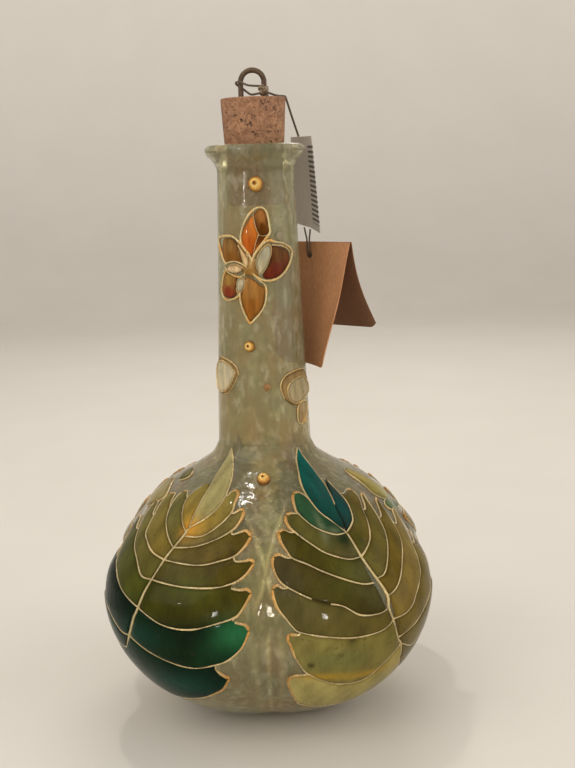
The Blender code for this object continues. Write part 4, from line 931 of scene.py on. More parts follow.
def brushed_group():
    """Streaks along the bottle's height and small specks, for poured and brushed paint and glass."""
    tree, given, out = group(
        "Brushed Paint",
        {"Colour": MID_GREY, "Streak Colour": DARK_GREY, "Streaks": 0.4, "Specks": 0.3, "Scale": 1.0},
        {"Colour": "Color", "Height": "Float", "Mask": "Float"},
    )
    place = sized_place(tree, given)
    drawn = stretched(tree, place, (1.0, 1.0, 0.12))
    streak = ramp(tree, noise(tree, drawn, 900.0, 4.0, 0.6)["Fac"], (0.42, 0.0), (0.66, 1.0))
    cloud = ramp(tree, noise(tree, place, 95.0, 3.0, 0.55)["Fac"], (0.35, 0.0), (0.68, 1.0))
    speck = ramp(tree, noise(tree, place, 420.0, 2.0, 0.5)["Fac"], (0.66, 0.0), (0.72, 1.0))
    amount = maths(tree, "MULTIPLY_ADD", streak, 0.5, maths(tree, "MULTIPLY", cloud, 0.5))
    amount = maths(tree, "MULTIPLY", amount, given.outputs["Streaks"])
    speckled = maths(tree, "MULTIPLY", speck, given.outputs["Specks"])
    colour = mixed(tree, amount, given.outputs["Colour"], given.outputs["Streak Colour"])
    colour = mixed(tree, speckled, colour, SPECK_COLOUR)
    height = maths(tree, "SUBTRACT", streak, maths(tree, "MULTIPLY", speck, 0.6))
    link(tree, (colour, out.inputs["Colour"]), (height, out.inputs["Height"]), (amount, out.inputs["Mask"]))
    return tree


def fibre_group():
    """Short crossed fibres and faint clouding, for paper, card and twine."""
    tree, given, out = group(
        "Fibres",
        {"Colour": MID_GREY, "Dark Colour": DARK_GREY, "Amount": 0.4, "Scale": 1.0},
        {"Colour": "Color", "Height": "Float"},
    )
    place = sized_place(tree, given)
    ways = []
    for turn, stretch in ((0.5, 0.10), (-0.9, 0.16)):
        laid = stretched(tree, place, (1.0, 1.0, stretch), (0.3, turn, 0.7))
        ways.append(ramp(tree, noise(tree, laid, 2600.0, 3.0, 0.6)["Fac"], (0.45, 0.0), (0.68, 1.0)))
    threads = maths(tree, "MAXIMUM", *ways)
    cloud = maths(tree, "MULTIPLY", noise(tree, place, 160.0, 4.0, 0.6)["Fac"], 0.4)
    both = maths(tree, "MULTIPLY_ADD", threads, 0.6, cloud)
    amount = maths(tree, "MULTIPLY", both, given.outputs["Amount"])
    colour = mixed(tree, amount, given.outputs["Colour"], given.outputs["Dark Colour"])
    link(tree, (colour, out.inputs["Colour"]), (threads, out.inputs["Height"]))
    return tree


def placed_group(tree, made, **values):
    """A group node in a material, with values by input name and its sockets."""
    found = tree.nodes.new("ShaderNodeGroup")
    found.node_tree = made
    for key, value in values.items():
        opaque = (*value, 1.0) if isinstance(value, tuple) and len(value) == 3 else value
        feed(tree, found.inputs[key.replace("_", " ")], opaque)
    return found


def finished(tree, shader, colour, rough, height, distance):
    """Feeds a material's colour and roughness, and a bump of the height."""
    bump = node(tree, "ShaderNodeBump", Strength=1.0, Distance=distance)
    link(tree, (colour, shader.inputs["Base Color"]), (rough, shader.inputs["Roughness"]),
         (height, bump.inputs["Height"]), (bump.outputs[0], shader.inputs["Normal"]))


def set_values(shader, **values):
    for key, value in values.items():
        shader.inputs[key.replace("_", " ")].default_value = value


FINISHES = {}


def glass_finish(settings):
    """Rippled glass with seeds, warm patches and pale strokes, times the colour painted on the mesh: painted
    shade for its depth, and the crease bands.
    """
    made, tree, shader = new_material("sage_glass")
    place = place_on(tree)
    drawn = stretched(tree, place, (1.0, 1.0, 0.55))
    look = placed_group(tree, FINISHES["brushed"], Colour=tuple(settings.tint),
                        Streak_Colour=tuple(settings.tint_low), Streaks=0.9, Specks=0.05, Scale=0.5)
    seed = ramp(tree, cells(tree, place, 260.0), (0.05, 1.0), (0.14, 0.0))
    warm = ramp(tree, noise(tree, drawn, 80.0, 4.0, 0.6)["Fac"], (0.44, 0.0), (0.60, 0.9))
    pale = ramp(tree, noise(tree, drawn, 260.0, 3.0, 0.55)["Fac"], (0.52, 0.0), (0.64, 0.7))
    colour = mixed(tree, warm, look.outputs["Colour"], (*settings.tint_warm, 1.0))
    colour = mixed(tree, pale, colour, (*settings.tint_high, 1.0))
    colour = mixed(tree, maths(tree, "MULTIPLY", seed, 0.3), colour, (*settings.tint_high, 1.0))
    colour = mixed(tree, 1.0, colour, paint_on(tree), "MULTIPLY")
    rough = maths(tree, "MULTIPLY_ADD", look.outputs["Mask"], 0.2, 0.06)
    height = maths(tree, "MULTIPLY_ADD", noise(tree, place, 60.0, 2.0, 0.5)["Fac"], 3.0, seed)
    hammered = cells(tree, place, 280.0, feature="SMOOTH_F1", Smoothness=0.6)
    height = maths(tree, "MULTIPLY_ADD", hammered, 0.7, height)
    finished(tree, shader, colour, rough, height, settings.ripple)
    set_values(shader, Transmission_Weight=settings.clearness, IOR=1.26, Coat_Weight=0.14,
               Coat_Roughness=0.04)
    return made


def brushed_finish(name, colour, streak, streaks, specks, scale, rough, bump, **values):
    """A poured or brushed finish, rougher where it is streaked; without a colour, the mesh's paint."""
    made, tree, shader = new_material(name)
    if colour is None:
        colour = paint_on(tree)
        streak = mixed(tree, 1.0, colour, (*streak, 1.0), "MULTIPLY")
    look = placed_group(tree, FINISHES["brushed"], Colour=colour, Streak_Colour=streak, Streaks=streaks,
                        Specks=specks, Scale=scale)
    even, streaked = rough
    roughness = maths(tree, "MULTIPLY_ADD", look.outputs["Mask"], streaked, even)
    finished(tree, shader, look.outputs["Colour"], roughness, look.outputs["Height"], bump)
    set_values(shader, **values)
    return made


def enamel_finish(name, streak, strength):
    """Glossy poured paint whose colour is painted on the mesh."""
    return brushed_finish(name, None, streak, strength, 0.35, 0.8, (0.12, 0.2), 0.00008,
                          Coat_Weight=0.12, Coat_Roughness=0.03, IOR=1.1)


def gold_finish():
    """Piped gold paint, its tint painted on the mesh."""
    return brushed_finish("gold_line", None, GOLD_STREAK, 0.6, 0.5, 1.6, (0.20, 0.25), 0.00012, Metallic=0.45)


def wire_finish(settings):
    """Dark bronze, rubbed brighter in places."""
    return brushed_finish("bronze_wire", tuple(settings.wire), tuple(settings.wire_worn), 0.7, 0.4, 2.0,
                          (0.30, 0.25), 0.00008, Metallic=0.75)


def cork_finish(settings):
    """Grain of two sizes, reddish patches, pits, and cracks that wander between the grains."""
    made, tree, shader = new_material("cork")
    place = place_on(tree)
    grain = noise(tree, place, 150.0, 5.0, 0.7)["Fac"]
    fine = noise(tree, place, 800.0, 4.0, 0.65)["Fac"]
    bend = noise(tree, place, 420.0, 2.0, 0.5)
    moved = node(tree, "ShaderNodeVectorMath", operation="MULTIPLY_ADD")
    moved.inputs[1].default_value = CRACK_WANDER
    link(tree, (bend["Color"], moved.inputs[0]), (place, moved.inputs[2]))
    cloud = ramp(tree, grain, (0.36, 0.0), (0.66, 1.0))
    speck = ramp(tree, fine, (0.48, 0.0), (0.66, 0.7))
    patch = ramp(tree, bend["Fac"], (0.50, 0.0), (0.64, 0.55))
    pit = ramp(tree, noise(tree, place, 430.0, 3.0, 0.65)["Fac"], (0.60, 0.0), (0.67, 0.9))
    edges = cells(tree, moved.outputs[0], 190.0, feature="DISTANCE_TO_EDGE")
    crack = maths(tree, "MULTIPLY", ramp(tree, edges, (0.0, 0.6), (0.035, 0.0)),
                  ramp(tree, grain, (0.47, 0.0), (0.56, 1.0)))
    colour = mixed(tree, cloud, (*settings.cork, 1.0), (*settings.cork_light, 1.0))
    colour = mixed(tree, maths(tree, "MAXIMUM", speck, patch), colour, (*settings.cork_red, 1.0))
    for hollow in (crack, pit):
        colour = mixed(tree, hollow, colour, (*settings.cork_dark, 1.0))
    rough = ramp(tree, grain, (0.3, 0.65), (0.7, 0.9))
    raised = maths(tree, "MULTIPLY", fine, 0.4)
    height = maths(tree, "SUBTRACT", raised, maths(tree, "MAXIMUM", pit, crack))
    finished(tree, shader, colour, rough, height, 0.0004)
    return made


def fibre_finish(name, colour, dark, fibres):
    """Card or twine, times the colour painted on the mesh, which on the tag's back leaf is painted shade."""
    made, tree, shader = new_material(name)
    amount, scale, bump = fibres
    look = placed_group(tree, FINISHES["fibres"], Colour=tuple(colour), Dark_Colour=tuple(dark),
                        Amount=amount, Scale=scale)
    shaded = mixed(tree, 1.0, look.outputs["Colour"], paint_on(tree), "MULTIPLY")
    rough = maths(tree, "MULTIPLY_ADD", look.outputs["Height"], 0.1, 0.75)
    finished(tree, shader, shaded, rough, look.outputs["Height"], bump)
    return made


def ticket_finish(settings):
    """White paper; its narrow strip carries plain, evenly spaced bars."""
    made, tree, shader = new_material("white_card")
    look = placed_group(tree, FINISHES["fibres"], Colour=paint_on(tree),
                        Dark_Colour=tuple(settings.ticket_shade), Amount=0.35, Scale=1.0)
    rough = maths(tree, "MULTIPLY_ADD", look.outputs["Height"], 0.15, 0.6)
    finished(tree, shader, look.outputs["Colour"], rough, look.outputs["Height"], 0.00004)
    return made


def floor_finish(settings):
    """A pale floor with faint clouds, which glows a little higher up the backdrop."""
    made, tree, shader = new_material("studio_floor")
    place = place_on(tree)
    cloud = ramp(tree, noise(tree, place, 9.0, 3.0, 0.5)["Fac"], (0.3, 0.0), (0.7, 0.25))
    colour = mixed(tree, cloud, (*settings.floor, 1.0), (*settings.floor_low, 1.0))
    link(tree, (colour, shader.inputs["Base Color"]))
    parts = node(tree, "ShaderNodeSeparateXYZ")
    light = node(tree, "ShaderNodeLightPath")
    link(tree, (place, parts.inputs[0]))
    seen = maths(tree, "MAXIMUM", light.outputs["Is Camera Ray"], light.outputs["Is Glossy Ray"])
    seen = maths(tree, "MAXIMUM", seen, light.outputs["Is Transmission Ray"])
    higher = ramp(tree, parts.outputs["Z"], (0.0, 0.0), (0.9, 1.0))
    glow = maths(tree, "MULTIPLY", higher, settings.backdrop_glow)
    link(tree, (maths(tree, "MULTIPLY", glow, seen), shader.inputs["Emission Strength"]))
    set_values(shader, Roughness=0.7, Emission_Color=(*settings.floor, 1.0))
    return made


# Raised ornament


def rounded(points):
    """(degrees, millimetres) points as (angle, height) in radians and metres."""
    points = np.array(points, float)
    return np.stack([np.radians(points[:, 0]), points[:, 1] / 1000], axis=1)


def even_scale(line):
    """Angle and height stretched to nearly even lengths on the belly."""
    return line * (BELLY_SCALE, 1.0)


def spun(line):
    return line / (BELLY_SCALE, 1.0)


def drawn_line(points):
    """A smooth line through (degrees, millimetres) points, in even lengths on the belly."""
    return smooth_line(even_scale(rounded(points)), spacing=DRAWN_STEP)


def closed_outline(points, scale):
    """A smooth, closed outline through (angle, height) points, where an angle is scale metres long."""
    return smooth_line(points * np.array((scale, 1.0)), count=OUTLINE_POINTS, closed=True)[:-1] / (scale, 1.0)


def gold_bead(skin, line, widths, heights, tints):
    """A piped line of gold on the glass. line is (angle, height) rows, and the rest is by row."""
    angle, z = line[:, 0], line[:, 1]
    seat = glass_point(angle, z)
    normal = glass_normal(angle, z)
    way = unit(np.gradient(seat, axis=0))
    side = unit(np.cross(way, normal))
    turns = full_turn(LINE_SIDES)
    across = np.cos(turns)[None, :, None] * side[:, None] * (widths / 2)[:, None, None]
    up = np.sin(turns)[None, :, None] * normal[:, None] * heights[:, None, None]
    rings = seat[:, None] + across + up
    # Painted shade: the line's colour darkens towards its foot on the glass
    raised = np.clip(np.sin(turns) * 1.5, 0, 1)[:, None]
    shade = np.array(LINE_FOOT_SHADE) * (1 - raised) + raised
    numbers = skin.grid(rings, tints[:, None, :] * shade[None], ring=True)
    skin.fan(numbers[0][:-1], seat[0], tints[0])
    skin.fan(numbers[-1][:-1], seat[-1], tints[-1])


def piped(skin, line, width, rng, tip_share=0.0, gaps=()):
    """A gold line of even width, thicker and more amber towards its end where tip_share is over 0."""
    line = evened(even_scale(np.asarray(line, float)), spacing=PIPED_STEP)
    count = len(line)
    t = np.linspace(0, 1, count)
    waves = max(3, count // 4)
    wave = np.interp(t, np.linspace(0, 1, waves), rng.normal(0, 1, waves))
    tip = np.clip((t - 1 + tip_share) / max(tip_share, 1e-6), 0, 1) if tip_share else np.zeros(count)
    ends = np.clip(np.minimum(t, 1 - t) * count / 1.6 + 0.35, 0, 1)
    widths = width * (1 + LINE_WAVER * wave + TIP_SWELL * tip) * ends
    heights = (LINE_RISE + LINE_RISE_WAVER * wave + TIP_RISE * tip) * ends
    tints = np.array(paint(*PALE_LINE)) * (1 + 0.12 * wave[:, None])
    turned = np.clip(tip * 0.95 + 0.12 * (wave > 1.0), 0, 1)[:, None]
    tints = tints + (np.array(paint(*AMBER_LINE)) - tints) * turned
    start = 0
    for low, high in (*gaps, (1.0, 2.0)):
        end = int(low * count)
        part = slice(start, max(end, start + 4))
        if end - start > 3:
            gold_bead(skin, spun(line[part]), widths[part], heights[part], tints[part])
        start = int(high * count)


def uneven(grid, seed):
    """Slow, smooth changes of tone over a pane, from its points' angle and height in millimetres."""
    a, b = grid[..., 0] * (BELLY_SCALE * 1000) + seed, grid[..., 1] * 1000 + 2 * seed
    slow = np.sin(0.42 * a + 0.23 * b)
    small = np.sin(0.95 * a - 0.37 * b + 1.1) * np.sin(0.31 * b + 0.4)
    return 0.55 * slow + 0.45 * small


def rim_shaded(colour, reach, width):
    """Paint that darkens along its rim, by the distance from it: painted shade beside the raised lines, and
    paint pooled thicker there.
    """
    rim = np.clip(reach / width, 0, 1)[..., None] ** 0.8
    return colour * (rim + np.array(PANE_RIM_POOL_AND_SHADE) * (1 - rim))


def poured_patch(skin, upper, lower, inner, outer, place, touches, turn):
    """A pool of paint between two lines that meet at the tip, its rim sunk in the glass."""
    high = evened(even_scale(np.asarray(upper, float)), count=PATCH_COLUMNS)
    low = evened(even_scale(np.asarray(lower, float)), count=PATCH_COLUMNS)
    s = np.concatenate([[0.0], 0.5 - 0.5 * np.cos(np.linspace(0.0, math.pi, PATCH_ROWS)), [1.0]])
    grid = spun(high[None] + (low - high)[None] * s[:, None, None])
    wide = np.linalg.norm(high - low, axis=1)[None, :]
    reach = np.minimum(np.minimum(s, 1 - s)[:, None] * wide, run_lengths((high + low) / 2)[None, :])
    rise = PATCH_LIFT + PATCH_CROWN * (1 - np.exp(-reach / PATCH_SHOULDER))
    rise[0] = rise[-1] = rise[:, 0] = -PANE_SUNK
    t = np.linspace(0, 1, PATCH_COLUMNS)[None, :, None] ** turn
    tone = 1 + PATCH_TONE * uneven(grid, inner[0] * 40)[..., None]
    colour = (np.array(inner) * (1 - t) + np.array(outer) * t) * tone
    for degrees, up, wide_reach, high_reach, touch, strength in touches:
        across = (grid[..., 0] - math.radians(degrees)) * TOUCH_SCALE / wide_reach
        near = strength * np.exp(-across**2 - ((grid[..., 1] * 1000 - up) / high_reach) ** 2)[..., None]
        colour = colour + (pigment(touch) - colour) * near
    skin.grid(on_glass(place(grid[..., 0]), grid[..., 1], rise), rim_shaded(colour, reach, PATCH_RIM_WIDTH))


def poured_disk(skin, outline, inner, outer, lift, crown):
    """A pool of paint inside a closed outline of (angle, height), crowned towards its middle."""
    middle = outline.mean(axis=0)
    shares = np.concatenate([[1.0], 1 - 0.92 * np.linspace(0.0, 1.0, DISK_RINGS) ** 1.5])
    grid = middle + (outline - middle)[None] * shares[:, None, None]
    rise = lift + crown * np.sqrt(np.clip(1 - shares**2, 0, 1))
    rise[0] = -PANE_SUNK
    top = (outline[:, 1] - outline[:, 1].min()) / np.ptp(outline[:, 1])
    colour = np.array(inner) + (np.array(outer) - np.array(inner)) * top[None, :, None]
    size = np.linalg.norm((outline - middle) * (NECK_SCALE, 1.0), axis=1)
    colour = colour * (1 + DISK_TONE * uneven(grid, inner[0] * 40)[..., None])
    colour = rim_shaded(colour, (1 - shares)[:, None] * size[None], DISK_RIM_WIDTH)
    rises = np.broadcast_to(rise[:, None], grid.shape[:2])
    numbers = skin.grid(on_glass(grid[..., 0], grid[..., 1], rises), colour, ring=True)
    skin.fan(numbers[-1][:-1], on_glass(middle[0], middle[1], lift + crown), (np.array(inner) + outer) / 2)


def nearest(line, point):
    """The number of the line's point that lies nearest to the given one."""
    return int(np.argmin(np.linalg.norm(line - point, axis=1)))


def leaf_lines(rows, top_edge):
    """For each leaflet its line to the tip, and the edge above it made of the line above and the shelf."""
    found, above, notch = [], top_edge, ()
    for inner, tip, shelf, low_paint, high_paint in rows:
        whole = drawn_line(inner + tip)
        ledge = drawn_line(notch + shelf + tip[-1:])
        edge = np.concatenate([above[: nearest(above, ledge[0]) + 1], ledge])
        found.append((spun(whole), spun(edge), spun(ledge), low_paint, high_paint))
        notch = inner[-1:]
        above = whole[: nearest(whole, even_scale(rounded(notch))[0]) + 1]
    return found


def painted_leaf(side, behind, line_width):
    """One leaf: its panes and its gold lines. The back lobes carry the same leaf reflected front to back."""
    right = side == "right"
    front, rear, spine, ends = LEAVES[side]
    node_name = f"leaf_{side}_{'back' if behind else 'front'}"
    rng = random_numbers(11 + 2 * right + behind)
    wash = np.array(paint(*BACK_WASH[side]))
    touches = () if behind else PANE_TOUCHES[side]

    def place(angle):
        turned = math.pi - angle if behind else angle
        return turned if right else -turned

    def tone(colour):
        linear = pigment(colour)
        return linear * (1 - BACK_WASH_SHARE) + wash * BACK_WASH_SHARE if behind else linear

    panes, lines = Skin(), Skin()

    def pour(upper, lower, low_paint, high_paint, turn=COLOUR_TURN):
        poured_patch(panes, upper, lower, tone(low_paint), tone(high_paint), place, touches, turn)

    def pipe(line, share, tip_share=0.0, gaps=()):
        line = np.array(line)
        line[:, 0] = place(line[:, 0])
        piped(lines, line, line_width * share, rng, tip_share, gaps)

    end_edges = []
    for first, second, low_paint, high_paint in ends:
        edges = [drawn_line(edge) for edge in (first, second)]
        pour(spun(edges[0]), spun(edges[1]), low_paint, high_paint)
        end_edges.append(edges)
    pipe(spun(end_edges[0][0]), 1.0)
    between = end_edges[0][1]
    if right and not behind:
        between = between[int(BETWEEN_STARTS * len(between)):]
    pipe(spun(between), 0.85)
    pipe(spun(end_edges[1][1]), 0.9)
    for rows, top, (tip_share, ledge_share, ledge_tip) in (
        (front, end_edges[0][0], FRONT_PIPING),
        (rear, end_edges[1][1], REAR_PIPING),
    ):
        for number, (line, edge, ledge, low_paint, high_paint) in enumerate(leaf_lines(rows, top)):
            turn = TOP_COLOUR_TURN if number == 0 else COLOUR_TURN
            if not right and rows is front and number == GREEN_TIP_LEAFLET:
                turn = GREEN_TIP_TURN
            pour(edge, line, low_paint, high_paint, turn)
            broken = right and not behind and rows is front and number == BROKEN_LEAFLET
            pipe(line, 1.0, tip_share, (LINE_BREAK,) if broken else ())
            pipe(ledge, ledge_share, ledge_tip)
    pipe(spun(drawn_line(spine)), 1.4)
    for outline, low_paint, high_paint in SHOULDER_PANES.get(node_name, ()):
        outline = closed_outline(rounded(outline), SHOULDER_SCALE)
        poured_disk(panes, outline, pigment(low_paint), pigment(high_paint), SHOULDER_LIFT, SHOULDER_CROWN)
        piped(lines, np.concatenate([outline, outline[:2]]), line_width * 0.9, rng)
    painted = panes.made(f"{node_name}_panes", FINISHES["leaf"], "bottle", "leaf_enamel")
    lines.made(f"{node_name}_lines", FINISHES["gold"], "bottle", "leaf_enamel")
    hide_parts(node_name)


def pane_group(name, panes, node_name, rng, width, free_lines):
    """Closed panes, some with a piped gold outline, and free gold lines as (share of width, line)."""
    skin, lines = Skin(), Skin()
    pale, amber = np.array(paint(*PALE_LINE)), np.array(paint(*AMBER_LINE))

    def lay(along, share, over=0.0):
        count = len(along)
        wave = np.convolve(rng.normal(0, 1, count + 4), np.ones(5) / 2.2, "valid")[:count]
        ends = np.clip(np.minimum(np.arange(count), np.arange(count)[::-1]) / 2 + 0.5, 0, 1)
        tints = pale * NECK_LINE_PALER + (amber - pale) * np.clip(0.2 + 0.35 * wave, 0, 1)[:, None]
        widths = width * share * (1 + LINE_WAVER * wave) * ends
        gold_bead(lines, along, widths, (NECK_LINE_RISE + over + NECK_LINE_SWELL * share) * ends, tints)

    for share, line in free_lines:
        lay(smooth_line(line * np.array((NECK_SCALE, 1.0)), spacing=FREE_STEP) / (NECK_SCALE, 1.0), share)
    for kind, outline, low_paint, high_paint in panes:
        outline = closed_outline(outline, NECK_SCALE)
        lift, share, over = PANE_KINDS[kind]
        poured_disk(skin, outline, pigment(low_paint), pigment(high_paint), lift, NECK_CROWN)
        if share:
            ring = np.concatenate([outline, outline[:2]])
            lay(evened(ring * (NECK_SCALE, 1.0), spacing=DRAWN_STEP) / (NECK_SCALE, 1.0), share, over)
    made = skin.made(f"{name}_panes", FINISHES["petal"], "bottle", "petal_enamel")
    lines.made(f"{name}_lines", FINISHES["gold"], "bottle", "petal_enamel")
    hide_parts(node_name)


def bead(name, degrees, z, radius, profile, finish, tints):
    """A turned bead on the glass, from a profile of (share of radius, height in metres)."""
    angle = math.radians(degrees)
    seat = on_glass(angle, z, 0.0)
    normal = glass_normal(np.array(angle), np.array(z))
    side = unit(np.cross((0, 0, 1.0), normal))
    up = np.cross(normal, side)
    turns = full_turn(BEAD_SIDES)
    rng = random_numbers(int(abs(degrees) * 10) + 5)
    wobble = 1 + 0.03 * np.sin(2 * turns + rng.uniform(0, 6)) + 0.02 * np.sin(3 * turns + rng.uniform(0, 6))
    around = np.cos(turns)[:, None] * side + np.sin(turns)[:, None] * up
    profile = smooth_line(profile, count=BEAD_RINGS)
    rings = []
    for share, height in profile:
        middle = seat + (up * DIMPLE_UP - side * DIMPLE_ACROSS) * radius * max(0.0, 1 - share)
        rings.append(middle + around * (radius * share * wobble)[:, None] + normal * height)
    at, tinted = np.linspace(0, 1, len(profile)), np.linspace(0, 1, len(tints))
    tone = np.stack([np.interp(at, tinted, channel) for channel in np.array(tints).T], axis=1)
    skin = Skin()
    numbers = skin.grid(np.array(rings), tone[:, None, :], ring=True)
    skin.fan(numbers[-1][:-1], middle + normal * profile[-1][1], tone[-1])
    return skin.made(name, finish, "bottle", "gold_paint")


# Cards and twine


def beside_neck(place, height):
    degrees, beyond = place
    return round_point(math.radians(degrees), LIP_RADIUS + beyond, height)


def ticket_point(edge, across, height):
    """A point on the ticket's edge, across metres from where the twine meets it."""
    place, turn, strip_turn, slope = edge
    main = min(across, TICKET_FOLD)
    turn, strip_turn = math.radians(turn), math.radians(strip_turn)
    point = beside_neck(place, height) + np.array((math.cos(turn), -math.sin(turn), -slope)) * main
    if across > main:
        point = point + np.array((math.cos(strip_turn), -math.sin(strip_turn), -slope * 2)) * (across - main)
    return point


def card_rim(numbers):
    """The point numbers round a grid's edge, in order."""
    return [*numbers[0], *numbers[1:, -1], *numbers[-1, -2::-1], *numbers[-2:0:-1, 0]]


def card_skin(front, thickness, colours, behind):
    """A thin closed card from a grid of its front face. It is thickened along the grid's normals."""
    skin = Skin()
    normal = unit(np.cross(np.gradient(front, axis=1), np.gradient(front, axis=0)))
    back = front + normal * thickness
    outer = card_rim(skin.grid(front, colours))
    inner = card_rim(skin.grid(back[:, ::-1], behind[:, ::-1] if np.ndim(behind) == 3 else behind)[:, ::-1])
    for i in range(len(outer)):
        j = (i + 1) % len(outer)
        skin.faces.append((int(outer[i]), int(outer[j]), int(inner[j]), int(inner[i])))
    return skin


def hung(top, bottom, rows):
    """A sheet's rows of points from its top edge down to its bottom edge, and how far down each row is."""
    t = np.linspace(0, 1, rows)[:, None, None]
    return top[None] * (1 - t) + bottom[None] * t, t


def tag_hole():
    return beside_neck(TAG_PLACE, TICKET_TOP_HEIGHT - TICKET_LENGTH - TAG_HOLE_BELOW_TICKET)


def tag_fold(shares):
    """Points along the tag's fold, by their share of its width from the middle."""
    return tag_hole() + (0.0, 0.0, TAG_HOLE_BELOW_FOLD) + TAG_ALONG * TAG_WIDTH * shares[:, None]


def cut_corners(shares, depth, reach):
    """How far a tag's lower edge turns up towards its two corners, over the outer reach of each half."""
    return depth * np.maximum(np.abs(shares) * 2 - (1 - reach), 0.0) ** 2 / reach**2


TAG_OUTWARD = np.array((math.sin(TAG_TURN), math.cos(TAG_TURN), 0.0))
TAG_ALONG = np.array((math.cos(TAG_TURN), -math.sin(TAG_TURN), 0.0))


def knot_centre():
    return np.array((LOOP_REACH - 0.0006, -WIRE_RADIUS - 0.0021, CORK_TOP + 0.0031))


def stopper_twine_route():
    """Round the loop's left leg, through the knot, over the cork's edge and down to the ticket."""
    leg, level = LOOP_REACH, CORK_TOP
    clear = WIRE_RADIUS + TWINE_RADIUS + CLEARANCE
    knot = knot_centre()
    over = np.array((math.sin(CORK_EDGE_ANGLE), -math.cos(CORK_EDGE_ANGLE), 0.0))
    edge = CORK_TOP_RADIUS + TWINE_RADIUS + CLEARANCE
    low = level + TWINE_RADIUS + CLEARANCE
    end = ticket_point(TICKET_TOP, 0.0, TICKET_TOP_HEIGHT) + (0.0, 0.0, CLEARANCE)
    halfway = (over * edge + (end[0], end[1], 0.0)) / 2 + (0.0, 0.0, (low + end[2]) / 2 - 0.0006)
    points = [
        knot + (-0.0012, 0.0004, 0.0016),
        (-leg * 0.35, -clear - 0.0006, level + 0.0052),
        (-leg + 0.0004, -clear, level + 0.0064),
        (-leg - clear * 0.78, -clear * 0.66, level + 0.0067),
        (-leg - clear * 1.02, clear * 0.2, level + 0.0062),
        (-leg - clear * 0.55, clear * 0.9, level + 0.0053),
        (-leg + clear * 0.45, clear * 0.95, level + 0.0040),
        (-leg + clear + 0.0006, 0.0004, level + 0.0026),
        (-0.0004, -0.0014, level + 0.0014),
        knot + (-0.0016, 0.0006, -0.0014),
        knot + (0.0018, 0.0002, -0.0012),
        over * edge * 0.62 + (0.0006, -0.0016, low + 0.0003),
        over * (edge - 0.0030) + (0.0, 0.0, low),
        over * (edge - 0.0006) + (0.0, 0.0, low - 0.0002),
        over * (edge + 0.0002) + (0.0, 0.0008, low - 0.0013),
        halfway,
        end,
    ]
    return smooth_line(points, spacing=TWINE_STEP)


def tag_twine_route():
    """Down one strand from the ticket's lower edge, through the tag's hole and up the other strand."""
    low = TICKET_TOP_HEIGHT - TICKET_LENGTH
    hole = tag_hole()
    drop = np.array((0.0, 0.0, -CLEARANCE - STRAND_RADIUS))
    starts = [ticket_point(TICKET_BOTTOM, across, low) + drop for across in (0.0006, 0.0038)]
    near = -TAG_OUTWARD * (STRAND_RADIUS + CLEARANCE + 0.0003)
    lift = np.array((0.0, 0.0, 1.0))

    def pair(apart, out, up):
        """The two strands' points, apart from the hole's middle along the tag."""
        return [hole + TAG_ALONG * side * apart + out + lift * up for side in (-1, 1)]

    meets = pair(0.0007, near, TAG_HOLE_BELOW_FOLD + 0.0012)
    inside = pair(0.0007, near * 0.9, 0.0013)
    through = pair(0.0006, TAG_OUTWARD * 0.0003, 0.0001)
    behind = pair(0.0012, TAG_OUTWARD * 0.0012, -0.0020)
    foot = hole + TAG_OUTWARD * 0.0012 - lift * 0.0033
    points = [starts[0], starts[0] * 0.4 + meets[0] * 0.6, meets[0], inside[0], through[0], behind[0], foot,
              behind[1], through[1], inside[1], meets[1], starts[1] * 0.4 + meets[1] * 0.6, starts[1]]
    return smooth_line(points, spacing=TWINE_STEP)


# Settings


def colour_setting(name, part, rgb):
    return bpy.props.FloatVectorProperty(name=name, description=f"Colour of {part}", default=paint(*rgb),
                                         size=3, min=0.0, max=1.0, subtype="COLOR")


def share_setting(name, description, value):
    return bpy.props.FloatProperty(name=name, description=description, default=value, min=0.0, max=1.0,
                                   subtype="FACTOR")


def length_setting(name, description, value):
    return bpy.props.FloatProperty(name=name, description=description, default=value, min=0.0, precision=5,
                                   unit="LENGTH", subtype="DISTANCE")


def light_setting(name, description, value):
    return bpy.props.FloatProperty(name=name, description=description, default=value, min=0.0, max=500.0)


class CarafeGlassSettings(bpy.types.PropertyGroup):
    tint: colour_setting("Glass", "the glass", (208, 205, 164))
    tint_low: colour_setting("Glass, darker", "the darker clouds in the glass", (158, 156, 120))
    tint_warm: colour_setting("Glass, warmer", "the warmer patches in the glass", (198, 178, 136))
    tint_high: colour_setting("Glass, seeds", "the seeds and pale strokes in it", (238, 234, 206))
    clearness: share_setting("Clearness", "Share of light that passes through the glass", 0.78)
    ripple: length_setting("Ripple", "Depth of the ripples on the glass", 0.00035)


class CarafeOrnamentSettings(bpy.types.PropertyGroup):
    line_width: length_setting("Line width", "Width of the piped gold lines", 0.00092)
    flower_line: length_setting("Flower line width", "Width of the gold lines round the petals", 0.00096)
    streak: colour_setting("Streak", "the paint where it is streaked", (196, 198, 184))


class CarafeStopperSettings(bpy.types.PropertyGroup):
    cork: colour_setting("Cork", "the cork", (148, 105, 75))
    cork_light: colour_setting("Cork, light", "the cork's lighter grain", (184, 138, 102))
    cork_red: colour_setting("Cork, fine grain", "the cork's fine grain", (116, 74, 48))
    cork_dark: colour_setting("Cork, pits", "the cork's pits and cracks", (66, 38, 26))
    wire: colour_setting("Wire", "the bronze loop", (78, 62, 50))
    wire_worn: colour_setting("Wire, worn", "the loop where it is rubbed", (132, 108, 84))
    # Painted shade: the twine is coloured darker than the knot and the wound turns, whose colour is the
    # twine's own where it is lit
    twine: colour_setting("Twine", "the twine", (112, 98, 80))
    twine_dark: colour_setting("Twine, dark", "the gaps between the twine's fibres", (66, 54, 42))
    knot: colour_setting("Knot", "the knot, where the twine is rubbed pale", (156, 134, 106))


